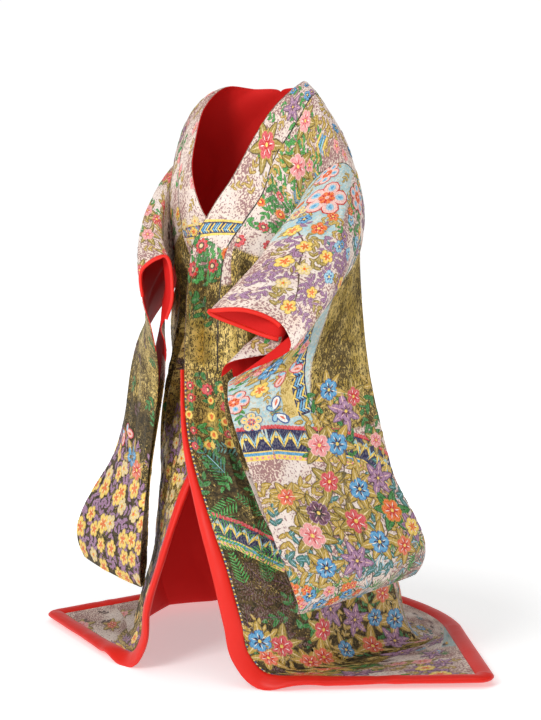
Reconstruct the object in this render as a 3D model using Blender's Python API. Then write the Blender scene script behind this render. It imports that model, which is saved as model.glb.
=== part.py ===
"""Uchikake: a trailing, padded bridal over-robe in the hollow form it keeps when worn.

Units are metres and +Z is up. The wearer faces -Y and the wearer's left is +X.
The origin is on the wearer's midline, between the shoulders that hold the robe up.
Tables give heights above the floor, and placed() moves them to that origin.

Each half of the robe is one smooth surface. Across it, u runs from the free edge
(the collar's edge, the front edge, or the centre back) at 0 to the side seam at 1.
Along it, v is the distance down from the shoulder line, negative on the front.
Every piece is a stretch of that surface, so neighbours meet along their seams.
"""
from collections import namedtuple
import math

import bmesh
import bpy
import numpy as np

# ---- driving dimensions ------------------------------------------------------
HOLD_HEIGHT = 1.36        # the shoulders, above the floor
CLOTH = 0.003             # brocade, padding and lining together
INNER_FACE = 0.0003       # the wall's inner face, from the surface
OUTER_FACE = INNER_FACE + CLOTH
SEAM_GAP = 0.0005         # between two sewn pieces
CUFF_SEAM_GAP = 0.0005    # more of it where the cuff turns sharply
COLLAR_WIDTH = 0.085
OKUMI_WIDTH = 0.155       # the overlap strip between the front panel and the edge
ROLL_WIDTH = 0.042        # the padded hem roll that shows past the brocade
ROLL_THICK = 0.018
CUFF_ROLL_WIDTH = 0.014
CUFF_ROLL_THICK = 0.008

# ---- places along the cloth, down from the shoulder line ---------------------
SIDE_TOP = 0.515          # the side seam's top
COLLAR_END = 0.70
OKUMI_POINT = 0.335       # where the overlap strip ends in a point under the collar
FLOOR = 1.45              # the skirt lies on the floor from here
HEM = 1.76
NECK_TURN = 0.04          # the collar starts to turn round the back of the neck
NECK_CENTRE = 0.16        # the collar's edge at the centre back
COLLAR_BACK = 0.07        # the collar's depth there, along v
ARMHOLE_FRONT = 0.355     # the sleeve is sewn on from here
ARMHOLE_BACK = 0.34       # round the shoulder to here

CLOSED_ABOVE_SIDE = 0.07  # the panels' mitre is shared from this far above the side seam
OKUMI_TAPER = 0.45        # the overlap strip narrows to its point over this length
FLOOR_FADE = 0.16         # the folds die away over this length above the floor

# ---- how far a seam's shared mitre reaches into each piece, in u ---------------
SIDE_BLEND = 0.18
BACK_BLEND = 0.10
SLEEVE_BLEND = 0.12
MITRE_SPREAD = 0.03       # an armhole's mitre is evened over this much either way
OUT_STEP = 0.01           # how far past an edge to look for the way that leads out of it
SHARP_EDGE = 50           # degrees

# ---- the number of cells -----------------------------------------------------
PANEL_CELLS = 6
STRIP_CELLS = 2
COLLAR_CELLS = 2
SLEEVE_CELLS = 8
ROLL_CELLS = 4
NECK_STEPS = 6
CORNER_STEPS = 5


# A section of the upper robe: three points (x, y, height) from the free edge to the side.
Section = namedtuple("Section", "down edge middle side")

LEFT_FRONT = [
    Section(0.000, (0.096, 0.060, 1.398), (0.175, -0.002, 1.335), (0.238, 0.000, 1.200)),
    Section(0.105, (0.088, -0.060, 1.336), (0.151, -0.077, 1.254), (0.199, -0.057, 1.168)),
    Section(0.190, (0.067, -0.115, 1.268), (0.133, -0.122, 1.176), (0.178, -0.101, 1.113)),
    Section(0.275, (0.035, -0.166, 1.170), (0.125, -0.143, 1.105), (0.178, -0.104, 1.050)),
    Section(0.355, (-0.005, -0.190, 1.100), (0.118, -0.149, 1.034), (0.191, -0.070, 0.988)),
    Section(0.435, (-0.050, -0.208, 1.010), (0.122, -0.154, 0.965), (0.208, -0.020, 0.935)),
]
RIGHT_FRONT = [
    Section(0.000, (-0.112, 0.050, 1.392), (-0.178, -0.002, 1.332), (-0.235, 0.000, 1.200)),
    Section(0.105, (-0.116, -0.050, 1.336), (-0.168, -0.074, 1.250), (-0.201, -0.058, 1.170)),
    Section(0.190, (-0.100, -0.112, 1.268), (-0.149, -0.123, 1.178), (-0.183, -0.102, 1.112)),
    Section(0.275, (-0.082, -0.160, 1.180), (-0.135, -0.141, 1.108), (-0.180, -0.104, 1.050)),
    Section(0.355, (-0.045, -0.178, 1.095), (-0.125, -0.148, 1.035), (-0.192, -0.068, 0.985)),
    Section(0.435, (0.018, -0.180, 1.005), (-0.120, -0.150, 0.965), (-0.208, -0.020, 0.935)),
]
UPPER_BACK = [
    Section(0.080, (0.070, 0.100, 1.390), (0.190, 0.050, 1.290), (0.245, 0.050, 1.170)),
    Section(0.160, (0.000, 0.120, 1.378), (0.135, 0.110, 1.270), (0.248, 0.078, 1.120)),
    Section(0.250, (0.000, 0.142, 1.270), (0.130, 0.128, 1.200), (0.246, 0.090, 1.060)),
    Section(0.340, (0.000, 0.150, 1.160), (0.128, 0.138, 1.110), (0.238, 0.085, 0.990)),
    Section(0.430, (0.000, 0.165, 1.040), (0.135, 0.140, 1.010), (0.225, 0.045, 0.925)),
]

# A level of the skirt: its front edge, its side seam and its centre back, each (x, y),
# and how round it is between them: 0.5 is straight, 0.71 is a quarter of an ellipse.
Level = namedtuple("Level", "down height edge side back front_round back_round")

LEFT_LEVELS = [
    Level(0.515, 0.900, (-0.064, -0.213), (0.222, 0.015), 0.180, 0.70, 0.70),
    Level(0.555, 0.860, (-0.065, -0.216), (0.233, 0.020), 0.185, 0.70, 0.70),
    Level(0.715, 0.700, (-0.062, -0.230), (0.250, 0.035), 0.215, 0.68, 0.68),
    Level(0.870, 0.550, (-0.044, -0.242), (0.270, 0.052), 0.250, 0.67, 0.66),
    Level(1.025, 0.400, (0.014, -0.258), (0.290, 0.070), 0.285, 0.66, 0.65),
    Level(1.180, 0.250, (0.088, -0.280), (0.310, 0.095), 0.325, 0.66, 0.64),
    Level(1.295, 0.140, (0.127, -0.285), (0.325, 0.122), 0.365, 0.66, 0.63),
    Level(1.370, 0.070, (0.145, -0.281), (0.336, 0.150), 0.400, 0.64, 0.62),
    Level(1.420, 0.028, (0.178, -0.266), (0.348, 0.185), 0.432, 0.61, 0.61),
    Level(1.500, 0.012, (0.290, -0.190), (0.368, 0.235), 0.475, 0.60, 0.60),
    Level(1.620, 0.010, (0.440, -0.092), (0.372, 0.300), 0.535, 0.44, 0.59),
    Level(1.760, 0.011, (0.590, 0.000), (0.345, 0.372), 0.605, 0.50, 0.58),
]
RIGHT_LEVELS = [
    Level(0.515, 0.900, (0.055, -0.172), (-0.222, 0.015), 0.180, 0.69, 0.70),
    Level(0.555, 0.860, (0.060, -0.170), (-0.235, 0.020), 0.185, 0.68, 0.70),
    Level(0.715, 0.700, (0.012, -0.164), (-0.257, 0.035), 0.215, 0.66, 0.68),
    Level(0.870, 0.550, (-0.036, -0.186), (-0.285, 0.050), 0.250, 0.63, 0.66),
    Level(1.025, 0.400, (-0.084, -0.222), (-0.316, 0.060), 0.285, 0.56, 0.65),
    Level(1.180, 0.250, (-0.113, -0.262), (-0.352, 0.078), 0.325, 0.50, 0.64),
    Level(1.295, 0.140, (-0.140, -0.280), (-0.366, 0.112), 0.365, 0.53, 0.63),
    Level(1.370, 0.070, (-0.152, -0.280), (-0.374, 0.144), 0.400, 0.58, 0.62),
    Level(1.420, 0.028, (-0.185, -0.266), (-0.382, 0.178), 0.432, 0.61, 0.61),
    Level(1.500, 0.012, (-0.295, -0.198), (-0.408, 0.222), 0.475, 0.60, 0.60),
    Level(1.620, 0.010, (-0.445, -0.105), (-0.438, 0.275), 0.535, 0.50, 0.59),
    Level(1.760, 0.011, (-0.590, -0.014), (-0.452, 0.340), 0.605, 0.50, 0.58),
]

# A soft fold of the skirt: its place across (u), half its width in u, how far it stands
# out, where it starts and is full along |v|, and how far it leans in u on the way down.
Fold = namedtuple("Fold", "across half_width height start full lean")

LEFT_FRONT_FOLDS = [
    Fold(0.36, 0.17, 0.014, 0.62, 1.25, 0.10),
    Fold(0.72, 0.16, -0.012, 0.75, 1.30, -0.04),
]
RIGHT_FRONT_FOLDS = [
    Fold(0.44, 0.18, 0.008, 0.70, 1.30, 0.05),
    Fold(0.76, 0.15, -0.010, 0.80, 1.30, -0.05),
]
BACK_FOLDS = [
    Fold(0.30, 0.18, 0.016, 0.62, 1.20, -0.06),
    Fold(0.68, 0.19, 0.015, 0.70, 1.30, 0.04),
]

# A station round a sleeve, from the bottom seam up its inner layer, over its top fold
# and down its outer layer: its end by the body, its end at the cuff, how far its middle
# stands out, and its place on the armhole if it is sewn there.
Station = namedtuple("Station", "name body cuff bulge armhole")

LEFT_STATIONS = [
    Station("bottom_inner", (0.416, 0.034, 0.232), (0.262, -0.260, 0.174), 0.010, None),
    Station("inner_hem", (0.410, 0.036, 0.245), (0.263, -0.259, 0.190), 0.006, None),
    Station("inner_low", (0.332, 0.005, 0.500), (0.177, -0.296, 0.430), 0.004, None),
    Station("inner_high", (0.256, -0.046, 0.800), (0.094, -0.303, 0.662), -0.004, None),
    Station("inner_tuck", (0.224, -0.076, 0.910), (0.095, -0.285, 0.742), -0.018, None),
    Station("inner_below", (0.205, -0.074, 0.946), (0.176, -0.210, 0.770), 0.003, None),
    Station("inner_ridge", None, (0.185, -0.197, 0.800), 0.010, -0.355),
    Station("inner_above", None, (0.180, -0.207, 0.801), 0.015, -0.324),
    Station("inner_cuff", None, (0.108, -0.242, 0.828), 0.022, -0.200),
    Station("top", None, (0.060, -0.304, 0.864), 0.030, -0.090),
    Station("outer_cuff", None, (0.130, -0.267, 0.869), 0.048, 0.000),
    Station("outer_above", None, (0.186, -0.202, 0.829), 0.064, 0.090),
    Station("outer_ridge", None, (0.219, -0.217, 0.779), 0.058, 0.174),
    Station("outer_below", None, (0.208, -0.227, 0.765), 0.052, 0.230),
    Station("outer_tuck", None, (0.127, -0.297, 0.719), 0.053, 0.340),
    Station("outer_high", (0.300, -0.010, 0.800), (0.101, -0.301, 0.680), 0.034, None),
    Station("outer_low", (0.368, -0.008, 0.495), (0.187, -0.306, 0.441), 0.025, None),
    Station("outer_hem", (0.430, 0.030, 0.244), (0.269, -0.264, 0.184), 0.015, None),
    Station("bottom_outer", (0.420, 0.032, 0.230), (0.267, -0.258, 0.177), 0.008, None),
]
RIGHT_STATIONS = [
    Station("bottom_inner", (-0.488, -0.050, 0.192), (-0.199, -0.210, 0.174), 0.010, None),
    Station("inner_hem", (-0.476, -0.046, 0.212), (-0.198, -0.208, 0.188), 0.006, None),
    Station("inner_low", (-0.345, -0.070, 0.500), (-0.172, -0.216, 0.450), 0.006, None),
    Station("inner_high", (-0.240, -0.078, 0.780), (-0.128, -0.216, 0.714), 0.004, None),
    Station("inner_tuck", (-0.210, -0.076, 0.915), (-0.113, -0.240, 0.780), 0.006, None),
    Station("inner_below", (-0.208, -0.056, 0.955), (-0.115, -0.252, 0.814), 0.008, None),
    Station("inner_ridge", None, (-0.108, -0.245, 0.835), 0.012, -0.355),
    Station("inner_cuff", None, (-0.090, -0.245, 0.905), 0.022, -0.200),
    Station("top", None, (-0.098, -0.262, 0.985), 0.026, -0.090),
    Station("outer_cuff", None, (-0.166, -0.248, 0.955), 0.034, 0.000),
    Station("outer_ridge", None, (-0.175, -0.236, 0.885), 0.042, 0.150),
    Station("outer_tuck", None, (-0.142, -0.248, 0.810), 0.052, 0.340),
    Station("outer_high", (-0.292, -0.042, 0.792), (-0.130, -0.239, 0.700), 0.034, None),
    Station("outer_low", (-0.372, -0.060, 0.500), (-0.1745, -0.2195, 0.450), 0.018, None),
    Station("outer_hem", (-0.496, -0.060, 0.208), (-0.194, -0.224, 0.184), 0.006, None),
    Station("bottom_outer", (-0.490, -0.054, 0.190), (-0.2005, -0.212, 0.174), 0.012, None),
]
# The cuff's mouth has its roll between these two stations.
CUFF_ENDS = {1: ("inner_above", "outer_above"), -1: ("inner_ridge", "outer_ridge")}
SLEEVE_OUT = {1: (0.93, -0.37, 0.0), -1: (-0.86, -0.51, 0.0)}    # away from the body


# ---- curves and surfaces -----------------------------------------------------
def placed(point):
    """A table's point, with its height taken from the shoulders instead of the floor."""
    return np.array((point[0], point[1], point[2] - HOLD_HEIGHT))


def unit(vectors):
    return vectors / np.maximum(np.linalg.norm(vectors, axis=-1, keepdims=True), 1e-9)


def smooth_step(t):
    t = np.clip(t, 0.0, 1.0)
    return t * t * (3 - 2 * t)


def slopes(knots, values):
    """Catmull-Rom slopes at uneven knots."""
    steps = np.diff(knots).reshape(-1, *[1] * (values.ndim - 1))
    chords = np.diff(values, axis=0) / steps
    inner = (chords[:-1] * steps[1:] + chords[1:] * steps[:-1]) / (steps[:-1] + steps[1:])
    return np.concatenate([chords[:1], inner, chords[-1:]])


def curve(knots, values, tangents, t):
    """A smooth curve through values at knots, read at every t."""
    i = np.clip(np.searchsorted(knots, t, side="right") - 1, 0, len(knots) - 2)
    step = knots[i + 1] - knots[i]
    s = (t - knots[i]) / step
    shape = (-1, *[1] * (values.ndim - 1))
    s, step = s.reshape(shape), step.reshape(shape)
    return (
        values[i] * (2 * s**3 - 3 * s**2 + 1)
        + tangents[i] * step * (s**3 - 2 * s**2 + s)
        + values[i + 1] * (3 * s**2 - 2 * s**3)
        + tangents[i + 1] * step * (s**3 - s**2)
    )


def across(columns, u):
    """The point at u on the parabola through each row's three points."""
    u = u[:, None]
    edge, middle, side = columns[:, 0], columns[:, 1], columns[:, 2]
    return (
        edge * (2 * u - 1) * (u - 1) + middle * 4 * u * (1 - u) + side * u * (2 * u - 1)
    )


def runs(*stops):
    """Places along the cloth: each stop is (place, cells up to it)."""
    places = [stops[0][0]]
    for place, cells in stops[1:]:
        places += list(np.linspace(places[-1], place, cells + 1)[1:])
    return np.array(places)


FRONT_SKIRT = runs((-HEM, 0), (-1.62, 2), (-1.26, 9), (-COLLAR_END, 9))
FRONT_CHEST = runs((-COLLAR_END, 0), (-SIDE_TOP, 3), (-ARMHOLE_FRONT, 4), (-0.20, 5), (0, 5))
BACK_CHEST = runs((NECK_CENTRE + COLLAR_BACK + SEAM_GAP, 0), (ARMHOLE_BACK, 3), (SIDE_TOP, 4))
BACK_SKIRT = runs((SIDE_TOP, 0), (COLLAR_END, 3), (1.26, 9), (1.62, 9), (HEM, 2))


def neck_turn(extra=0.0):
    """Places down the back where the collar seam turns, one for each step of the turn."""
    angles = np.linspace(0, math.pi / 2, NECK_STEPS + 1)
    return NECK_TURN + (NECK_CENTRE + COLLAR_BACK + extra - NECK_TURN) * np.sin(angles)


BODY_ROWS = np.concatenate([
    FRONT_SKIRT, FRONT_CHEST[1:], neck_turn(SEAM_GAP), BACK_CHEST[1:], BACK_SKIRT[1:]
])


class Surface:
    """A smooth sheet through rows of three points, with a normal at every place."""

    def __init__(self, knots, net, outward):
        self.knots = np.array(knots)
        self.net = np.array(net)
        self.tangents = slopes(self.knots, self.net)
        self.outward = outward

    def bare(self, u, v):
        return across(curve(self.knots, self.net, self.tangents, v), u)

    def bare_normal(self, u, v, step=0.004):
        along_u = self.bare(u + step, v) - self.bare(u - step, v)
        along_v = self.bare(u, v + step) - self.bare(u, v - step)
        return self.outward * unit(np.cross(along_u, along_v))

    def relief(self, u, v):
        return np.zeros_like(u)

    def at(self, u, v):
        return self.bare(u, v) + self.bare_normal(u, v) * self.relief(u, v)[:, None]

    def normal(self, u, v, step=0.004):
        along_u = self.at(u + step, v) - self.at(u - step, v)
        along_v = self.at(u, v + step) - self.at(u, v - step)
        return self.outward * unit(np.cross(along_u, along_v))


class Half(Surface):
    """One half of the body, with the collar and the overlap strip."""

    def __init__(self, side, front, levels):
        self.side = side
        knots, net = [], []
        for level in reversed(levels):
            edge, seam = np.array(level.edge), np.array(level.side)
            middle = np.array((
                edge[0] + (seam[0] - edge[0]) * level.front_round,
                seam[1] + (edge[1] - seam[1]) * level.front_round,
            ))
            knots.append(-level.down)
            net.append([placed((*p, level.height)) for p in (edge, middle, seam)])
        for row in reversed(front):
            knots.append(-row.down)
            net.append([placed(p) for p in row[1:]])
        for row in UPPER_BACK:
            knots.append(row.down)
            net.append([placed((side * p[0], p[1], p[2])) for p in row[1:]])
        for level in levels:
            seam = np.array(level.side)
            middle = (
                seam[0] * level.back_round,
                seam[1] + (level.back - seam[1]) * level.back_round,
            )
            knots.append(level.down)
            net.append([placed((*p, level.height)) for p in ((0, level.back), middle, seam)])
        super().__init__(knots, net, side)
        for end in (-SIDE_TOP, SIDE_TOP):    # the side seam closes here on both panels
            i = int(np.argmin(abs(self.knots - end)))
            j = i + (1 if end > 0 else -1)
            self.tangents[i, 2] = (self.net[j, 2] - self.net[i, 2]) / (
                self.knots[j] - self.knots[i]
            )
        self.tangents[self.knots >= NECK_CENTRE, 0, 0] = 0    # the centre back stays at x = 0
        self.front_folds = LEFT_FRONT_FOLDS if side > 0 else RIGHT_FRONT_FOLDS
        self.sleeve = None

    def relief(self, u, v):
        """How far the skirt's folds stand out."""
        total = np.zeros_like(u)
        for front, folds in ((True, self.front_folds), (False, BACK_FOLDS)):
            on = (v < 0) == front
            for fold in folds:
                grown = smooth_step((abs(v) - fold.start) / (fold.full - fold.start))
                centre = fold.across + fold.lean * grown
                near = np.clip((u - centre) / fold.half_width, -1, 1)
                total += on * fold.height * grown * np.cos(near * math.pi / 2) ** 2
        return total * smooth_step((FLOOR - abs(v)) / FLOOR_FADE)

    def u_at(self, width, v):
        """The u that lies width along the cloth from the free edge, at each v."""
        steps = np.linspace(0, 1, 41)
        widths = np.broadcast_to(width, v.shape)
        found = np.empty(len(v))
        for k, place in enumerate(v):
            row = self.bare(steps, np.full(len(steps), place))
            length = np.concatenate([[0], np.cumsum(np.linalg.norm(np.diff(row, axis=0), axis=1))])
            found[k] = np.interp(widths[k], length, steps)
        return found

    def collar_u(self, v, extra=0.0):
        """The collar seam's u: a straight band on the front, then a turn behind the neck."""
        depth = NECK_CENTRE + COLLAR_BACK + extra - NECK_TURN
        turn = np.clip((v - NECK_TURN) / depth, 0, 1)
        return self.u_at(COLLAR_WIDTH, np.minimum(v, NECK_TURN)) * np.sqrt(1 - turn**2)

    def okumi_u(self, v):
        """The overlap strip's seam: straight up from the hem, to a point at the collar."""
        below = np.clip((-v - OKUMI_POINT) / OKUMI_TAPER, 0, 1)
        top = COLLAR_WIDTH + 2 * SEAM_GAP
        return self.u_at(top + (OKUMI_WIDTH - top) * below, v)

    def mitre(self, v):
        """Half way between the normals of the two pieces that are sewn together at v."""
        ones = np.ones_like(v)
        own = self.normal(ones, v)
        other = own.copy()
        closed = abs(v) >= SIDE_TOP - CLOSED_ABOVE_SIDE
        other[closed] = self.normal(ones, -v)[closed]
        if self.sleeve is not None:
            first, last = self.sleeve.armhole_v[0], self.sleeve.armhole_v[-1]
            sewn = (v > first - 1e-6) & (v < last + 1e-6)
            if sewn.any():
                w = self.sleeve.w_at(v[sewn])
                other[sewn] = self.sleeve.normal(np.zeros_like(w), w)
        return unit(own + other)

    def seam_direction(self, v):
        """The way the wall's thickness runs at the side: shared with what is sewn there."""
        first, last = self.sleeve.armhole_v[0], self.sleeve.armhole_v[-1]
        sewn = (v > first + MITRE_SPREAD / 2) & (v < last - MITRE_SPREAD / 2)
        spread_out = MITRE_SPREAD * sewn
        return unit(self.mitre(v - spread_out) + self.mitre(v) + self.mitre(v + spread_out))

    def directions(self, u, v):
        """The way the wall's thickness runs everywhere on this half."""
        own = self.normal(u, v)
        near_side = smooth_step(1 - (1 - u) / SIDE_BLEND)[:, None]
        found = own * (1 - near_side) + self.seam_direction(v) * near_side
        at_back = smooth_step(1 - u / BACK_BLEND) * (v > NECK_TURN)
        found[:, 0] *= 1 - at_back * smooth_step((v - NECK_TURN) / (NECK_CENTRE - NECK_TURN))
        return unit(found)


class Sleeve(Surface):
    """One hanging sleeve. u runs from the body to the cuff, w goes round the sleeve."""

    def __init__(self, side, stations, half):
        self.side = side
        self.half = half
        sewn = np.array([s.armhole for s in stations if s.armhole is not None])
        self.armhole_v = BODY_ROWS[abs(BODY_ROWS[None, :] - sewn[:, None]).argmin(axis=1)]
        seams = iter(half.bare(np.ones(len(self.armhole_v)), self.armhole_v))
        net = []
        for station in stations:
            body = next(seams) if station.body is None else placed(station.body)
            cuff = placed(station.cuff)
            out = np.array(SLEEVE_OUT[side]) * station.bulge
            net.append([body, (body + cuff) / 2 + out, cuff])
        net = np.array(net)
        steps = np.linalg.norm(np.diff(net, axis=0), axis=2).mean(axis=1)
        knots = np.concatenate([[0], np.cumsum(steps)])
        self.names = [s.name for s in stations]
        self.armhole_w = knots[[s.armhole is not None for s in stations]]
        super().__init__(knots, net, side)

    def w_of(self, name):
        return self.knots[self.names.index(name)]

    def w_at(self, v):
        return np.interp(v, self.armhole_v, self.armhole_w)

    def bare(self, u, v):
        """The sheet, whose end by the body follows the armhole where it is sewn."""
        columns = curve(self.knots, self.net, self.tangents, v)
        sewn = (v > self.armhole_w[0]) & (v < self.armhole_w[-1])
        if sewn.any():
            place = np.interp(v[sewn], self.armhole_w, self.armhole_v)
            columns[sewn, 0] = self.half.bare(np.ones(len(place)), place)
        return across(columns, u)

    def directions(self, u, w):
        own = self.normal(u, w)
        sewn = (w >= self.armhole_w[0] - 1e-6) & (w <= self.armhole_w[-1] + 1e-6)
        if sewn.any():
            place = np.interp(w[sewn], self.armhole_w, self.armhole_v)
            shared = self.half.seam_direction(place)
            near = smooth_step(1 - u[sewn] / SLEEVE_BLEND)[:, None]
            own[sewn] = unit(own[sewn] * (1 - near) + shared * near)
        return own


# ---- meshes ------------------------------------------------------------------
def material(name, colour, roughness, metallic=0.0):
    made = bpy.data.materials.new(name)
    made.use_nodes = True
    shader = made.node_tree.nodes["Principled BSDF"]
    shader.inputs["Base Color"].default_value = (*colour, 1.0)
    shader.inputs["Roughness"].default_value = roughness
    shader.inputs["Metallic"].default_value = metallic
    return made


def squared(lead, edge, up):
    """Directions that lead away from an edge, square to it and to its wall's thickness."""
    along = unit(np.gradient(edge, axis=0))
    lead = lead - along * (lead * along).sum(axis=1, keepdims=True)
    return unit(lead - up * (lead * up).sum(axis=1, keepdims=True))


def sheet_solid(name, inner, outer, surface, collection):
    """A closed wall between two grids of points, both of shape (across, along, 3)."""
    cells_across, cells_along = inner.shape[0] - 1, inner.shape[1] - 1
    mesh = bmesh.new()
    bmesh.ops.create_grid(mesh, x_segments=cells_across, y_segments=cells_along, size=0.5)
    raised = bmesh.ops.extrude_face_region(mesh, geom=list(mesh.faces), use_keep_orig=True)
    top = {v for v in raised["geom"] if isinstance(v, bmesh.types.BMVert)}
    for vertex in mesh.verts:
        i = round((vertex.co.x + 0.5) * cells_across)
        j = round((vertex.co.y + 0.5) * cells_along)
        vertex.co = (outer if vertex in top else inner)[i, j]
    bmesh.ops.recalc_face_normals(mesh, faces=list(mesh.faces))
    if mesh.calc_volume(signed=True) < 0:
        bmesh.ops.reverse_faces(mesh, faces=list(mesh.faces))
    data = bpy.data.meshes.new(name)
    mesh.to_mesh(data)
    mesh.free()
    data.materials.append(surface)
    data.shade_smooth()
    data.set_sharp_from_angle(angle=math.radians(SHARP_EDGE))
    made = bpy.data.objects.new(name, data)
    collection.objects.link(made)
    return made


def wall_faces(sheet, u, v):
    """The two faces of the wall over u, v, with its long edges stepped back for seams."""
    points = sheet.at(u.ravel(), v.ravel()).reshape(*u.shape, 3)
    thickness = sheet.directions(u.ravel(), v.ravel()).reshape(*u.shape, 3)
    back = np.zeros_like(points)
    for edge, neighbour in ((0, 1), (-1, -2)):
        lead = points[neighbour] - points[edge]
        back[edge] = squared(lead, points[edge], thickness[edge]) * SEAM_GAP / 2
    points = points + back
    return points + thickness * INNER_FACE, points + thickness * OUTER_FACE


def wall(name, sheet, u, v, surface, collection):
    """The cloth wall over the places u, v of a sheet, both of shape (across, along)."""
    inner, outer = wall_faces(sheet, u, v)
    return sheet_solid(name, inner, outer, surface, collection)


def spread(first, last, cells):
    """u across a piece whose two edges are given at each place along it."""
    share = np.linspace(0, 1, cells + 1)[:, None]
    return first[None, :] * (1 - share) + last[None, :] * share


def body_panel(half, name, surface, collection):
    """The front and back of one side, cut in one length over the shoulder."""
    v = BODY_ROWS
    seam = half.collar_u(v, SEAM_GAP * (v > NECK_TURN))
    strip = v < -OKUMI_POINT
    seam[strip] = np.maximum(seam, half.okumi_u(v))[strip]
    u = spread(seam, np.ones_like(v), PANEL_CELLS)
    return wall(name, half, u, np.broadcast_to(v, u.shape), surface, collection)


def okumi(half, name, surface, collection):
    """The overlap strip, notched at its top for the collar's end."""
    above = FRONT_CHEST[(FRONT_CHEST > -COLLAR_END) & (FRONT_CHEST < -OKUMI_POINT)]
    notch = np.array([-COLLAR_END - 3 * SEAM_GAP, -COLLAR_END - SEAM_GAP])
    v = np.concatenate([FRONT_SKIRT[:-1], notch, above])
    inner = half.collar_u(v)
    inner[v < -COLLAR_END - 2 * SEAM_GAP] = 0.0
    u = spread(inner, half.okumi_u(v), STRIP_CELLS)
    return wall(name, half, u, np.broadcast_to(v, u.shape), surface, collection)


def collar(left, right, surface, collection):
    """One band from front to front, round the back of the neck."""
    inner_rows, outer_rows = [], []
    for half in (left, right):
        turn = neck_turn()
        edge_turn = np.linspace(NECK_TURN, NECK_CENTRE, NECK_STEPS + 1)
        seam_v = np.concatenate([FRONT_CHEST, turn])
        edge_v = np.concatenate([FRONT_CHEST, edge_turn])
        share = np.linspace(0, 1, COLLAR_CELLS + 1)[:, None]
        u = share * half.collar_u(seam_v)[None, :]
        v = edge_v[None, :] * (1 - share) + seam_v[None, :] * share
        inner, outer = wall_faces(half, u, v)
        inner_rows.append(inner)
        outer_rows.append(outer)
    inner = np.concatenate([inner_rows[0], inner_rows[1][:, -2::-1]], axis=1)
    outer = np.concatenate([outer_rows[0], outer_rows[1][:, -2::-1]], axis=1)
    return sheet_solid("collar", inner, outer, surface, collection)


def sleeve_rows(sleeve):
    """Places round a sleeve: by its stations where it hangs, by the body's where sewn."""
    first, last = sleeve.armhole_v[0], sleeve.armhole_v[-1]
    sewn = BODY_ROWS[(BODY_ROWS > first - 1e-6) & (BODY_ROWS < last + 1e-6)]
    w = sleeve.w_of
    up = runs((w("bottom_inner"), 0), (w("inner_hem"), 1), (w("inner_high"), 7),
              (w("inner_tuck"), 2), (w("inner_below"), 2), (w("inner_ridge"), 1))
    down = runs((w("outer_tuck"), 0), (w("outer_high"), 2), (w("outer_hem"), 8),
                (w("bottom_outer"), 1))
    return np.concatenate([up[:-1], sleeve.w_at(sewn), down[1:]])


def sleeve_solid(sleeve, name, surface, collection):
    w = sleeve_rows(sleeve)
    u = spread(np.zeros(len(w)), np.ones(len(w)), SLEEVE_CELLS)
    return wall(name, sleeve, u, np.broadcast_to(w, u.shape), surface, collection)


def roll(name, edge, out, up, width, thick, surface, collection):
    """A padded roll along an edge: out leads away from the cloth, up across its wall."""
    share = np.linspace(0, 1, ROLL_CELLS + 1)
    half_thick = np.maximum(thick / 2 * np.sqrt(1 - (2 * share - 1) ** 2), CLOTH / 2)
    middle = edge + up * (INNER_FACE + OUTER_FACE) / 2
    line = middle[None] + out[None] * (SEAM_GAP / 2 + width * share)[:, None, None]
    rise = up[None] * half_thick[:, None, None]
    return sheet_solid(name, line - rise, line + rise, surface, collection)


def hem_roll(half, name, surface, collection):
    """The red roll down one front edge, round the corner and along the hem."""
    edge_v = FRONT_SKIRT[::-1]
    zero = np.zeros_like(edge_v)
    edge = half.at(zero, edge_v)
    up = half.directions(zero, edge_v)
    out = squared(half.at(zero - OUT_STEP, edge_v) - edge, edge, up)

    strip_seam = half.okumi_u(np.array([-HEM]))
    strip_u = spread(np.zeros(1), strip_seam, STRIP_CELLS)[:, 0]
    panel_u = spread(strip_seam, np.ones(1), PANEL_CELLS)[:, 0]
    back_u = np.linspace(1, 0, PANEL_CELLS + 1)
    runs_of_hem = []
    for u, v in ((np.concatenate([strip_u, panel_u[1:]]), -HEM), (back_u, HEM)):
        v = np.full(len(u), v)
        line = half.at(u, v)
        rise = half.directions(u, v)
        lead = squared(line - half.at(u, v * (1 - OUT_STEP)), line, rise)
        runs_of_hem.append((line + lead * SEAM_GAP / 2, rise, lead))
    (front, front_up, front_out), (back, back_up, back_out) = runs_of_hem
    back[-1, 0] += half.side * SEAM_GAP / 2
    back_out[-1] = (0, 1, 0)
    seam_out = unit(front_out[-1] + back_out[0])[None]
    hem = np.concatenate([front, back[1:]])
    hem_up = np.concatenate([front_up, back_up[1:]])
    hem_out = np.concatenate([front_out[:-1], seam_out, back_out[1:]])

    turn = np.linspace(0, 1, CORNER_STEPS + 1)[1:-1, None]
    fan = unit(out[-1] * (1 - turn) + hem_out[0] * turn)
    corner = np.repeat(edge[-1:], len(fan), axis=0)
    corner_up = np.repeat(up[-1:], len(fan), axis=0)
    return roll(
        name,
        np.concatenate([edge, corner, hem]),
        np.concatenate([out, fan, hem_out]),
        np.concatenate([up, corner_up, hem_up]),
        ROLL_WIDTH, ROLL_THICK, surface, collection,
    )


def cuff_roll(sleeve, name, surface, collection):
    """The red roll round the mouth of a cuff."""
    w = sleeve_rows(sleeve)
    first, last = (sleeve.w_of(name) for name in CUFF_ENDS[sleeve.side])
    w = w[(w > first - 1e-6) & (w < last + 1e-6)]
    ones = np.ones_like(w)
    edge = sleeve.at(ones, w)
    up = sleeve.directions(ones, w)
    out = squared(sleeve.at(ones + OUT_STEP, w) - edge, edge, up)
    edge = edge + out * CUFF_SEAM_GAP
    return roll(name, edge, out, up, CUFF_ROLL_WIDTH, CUFF_ROLL_THICK, surface, collection)


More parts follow.
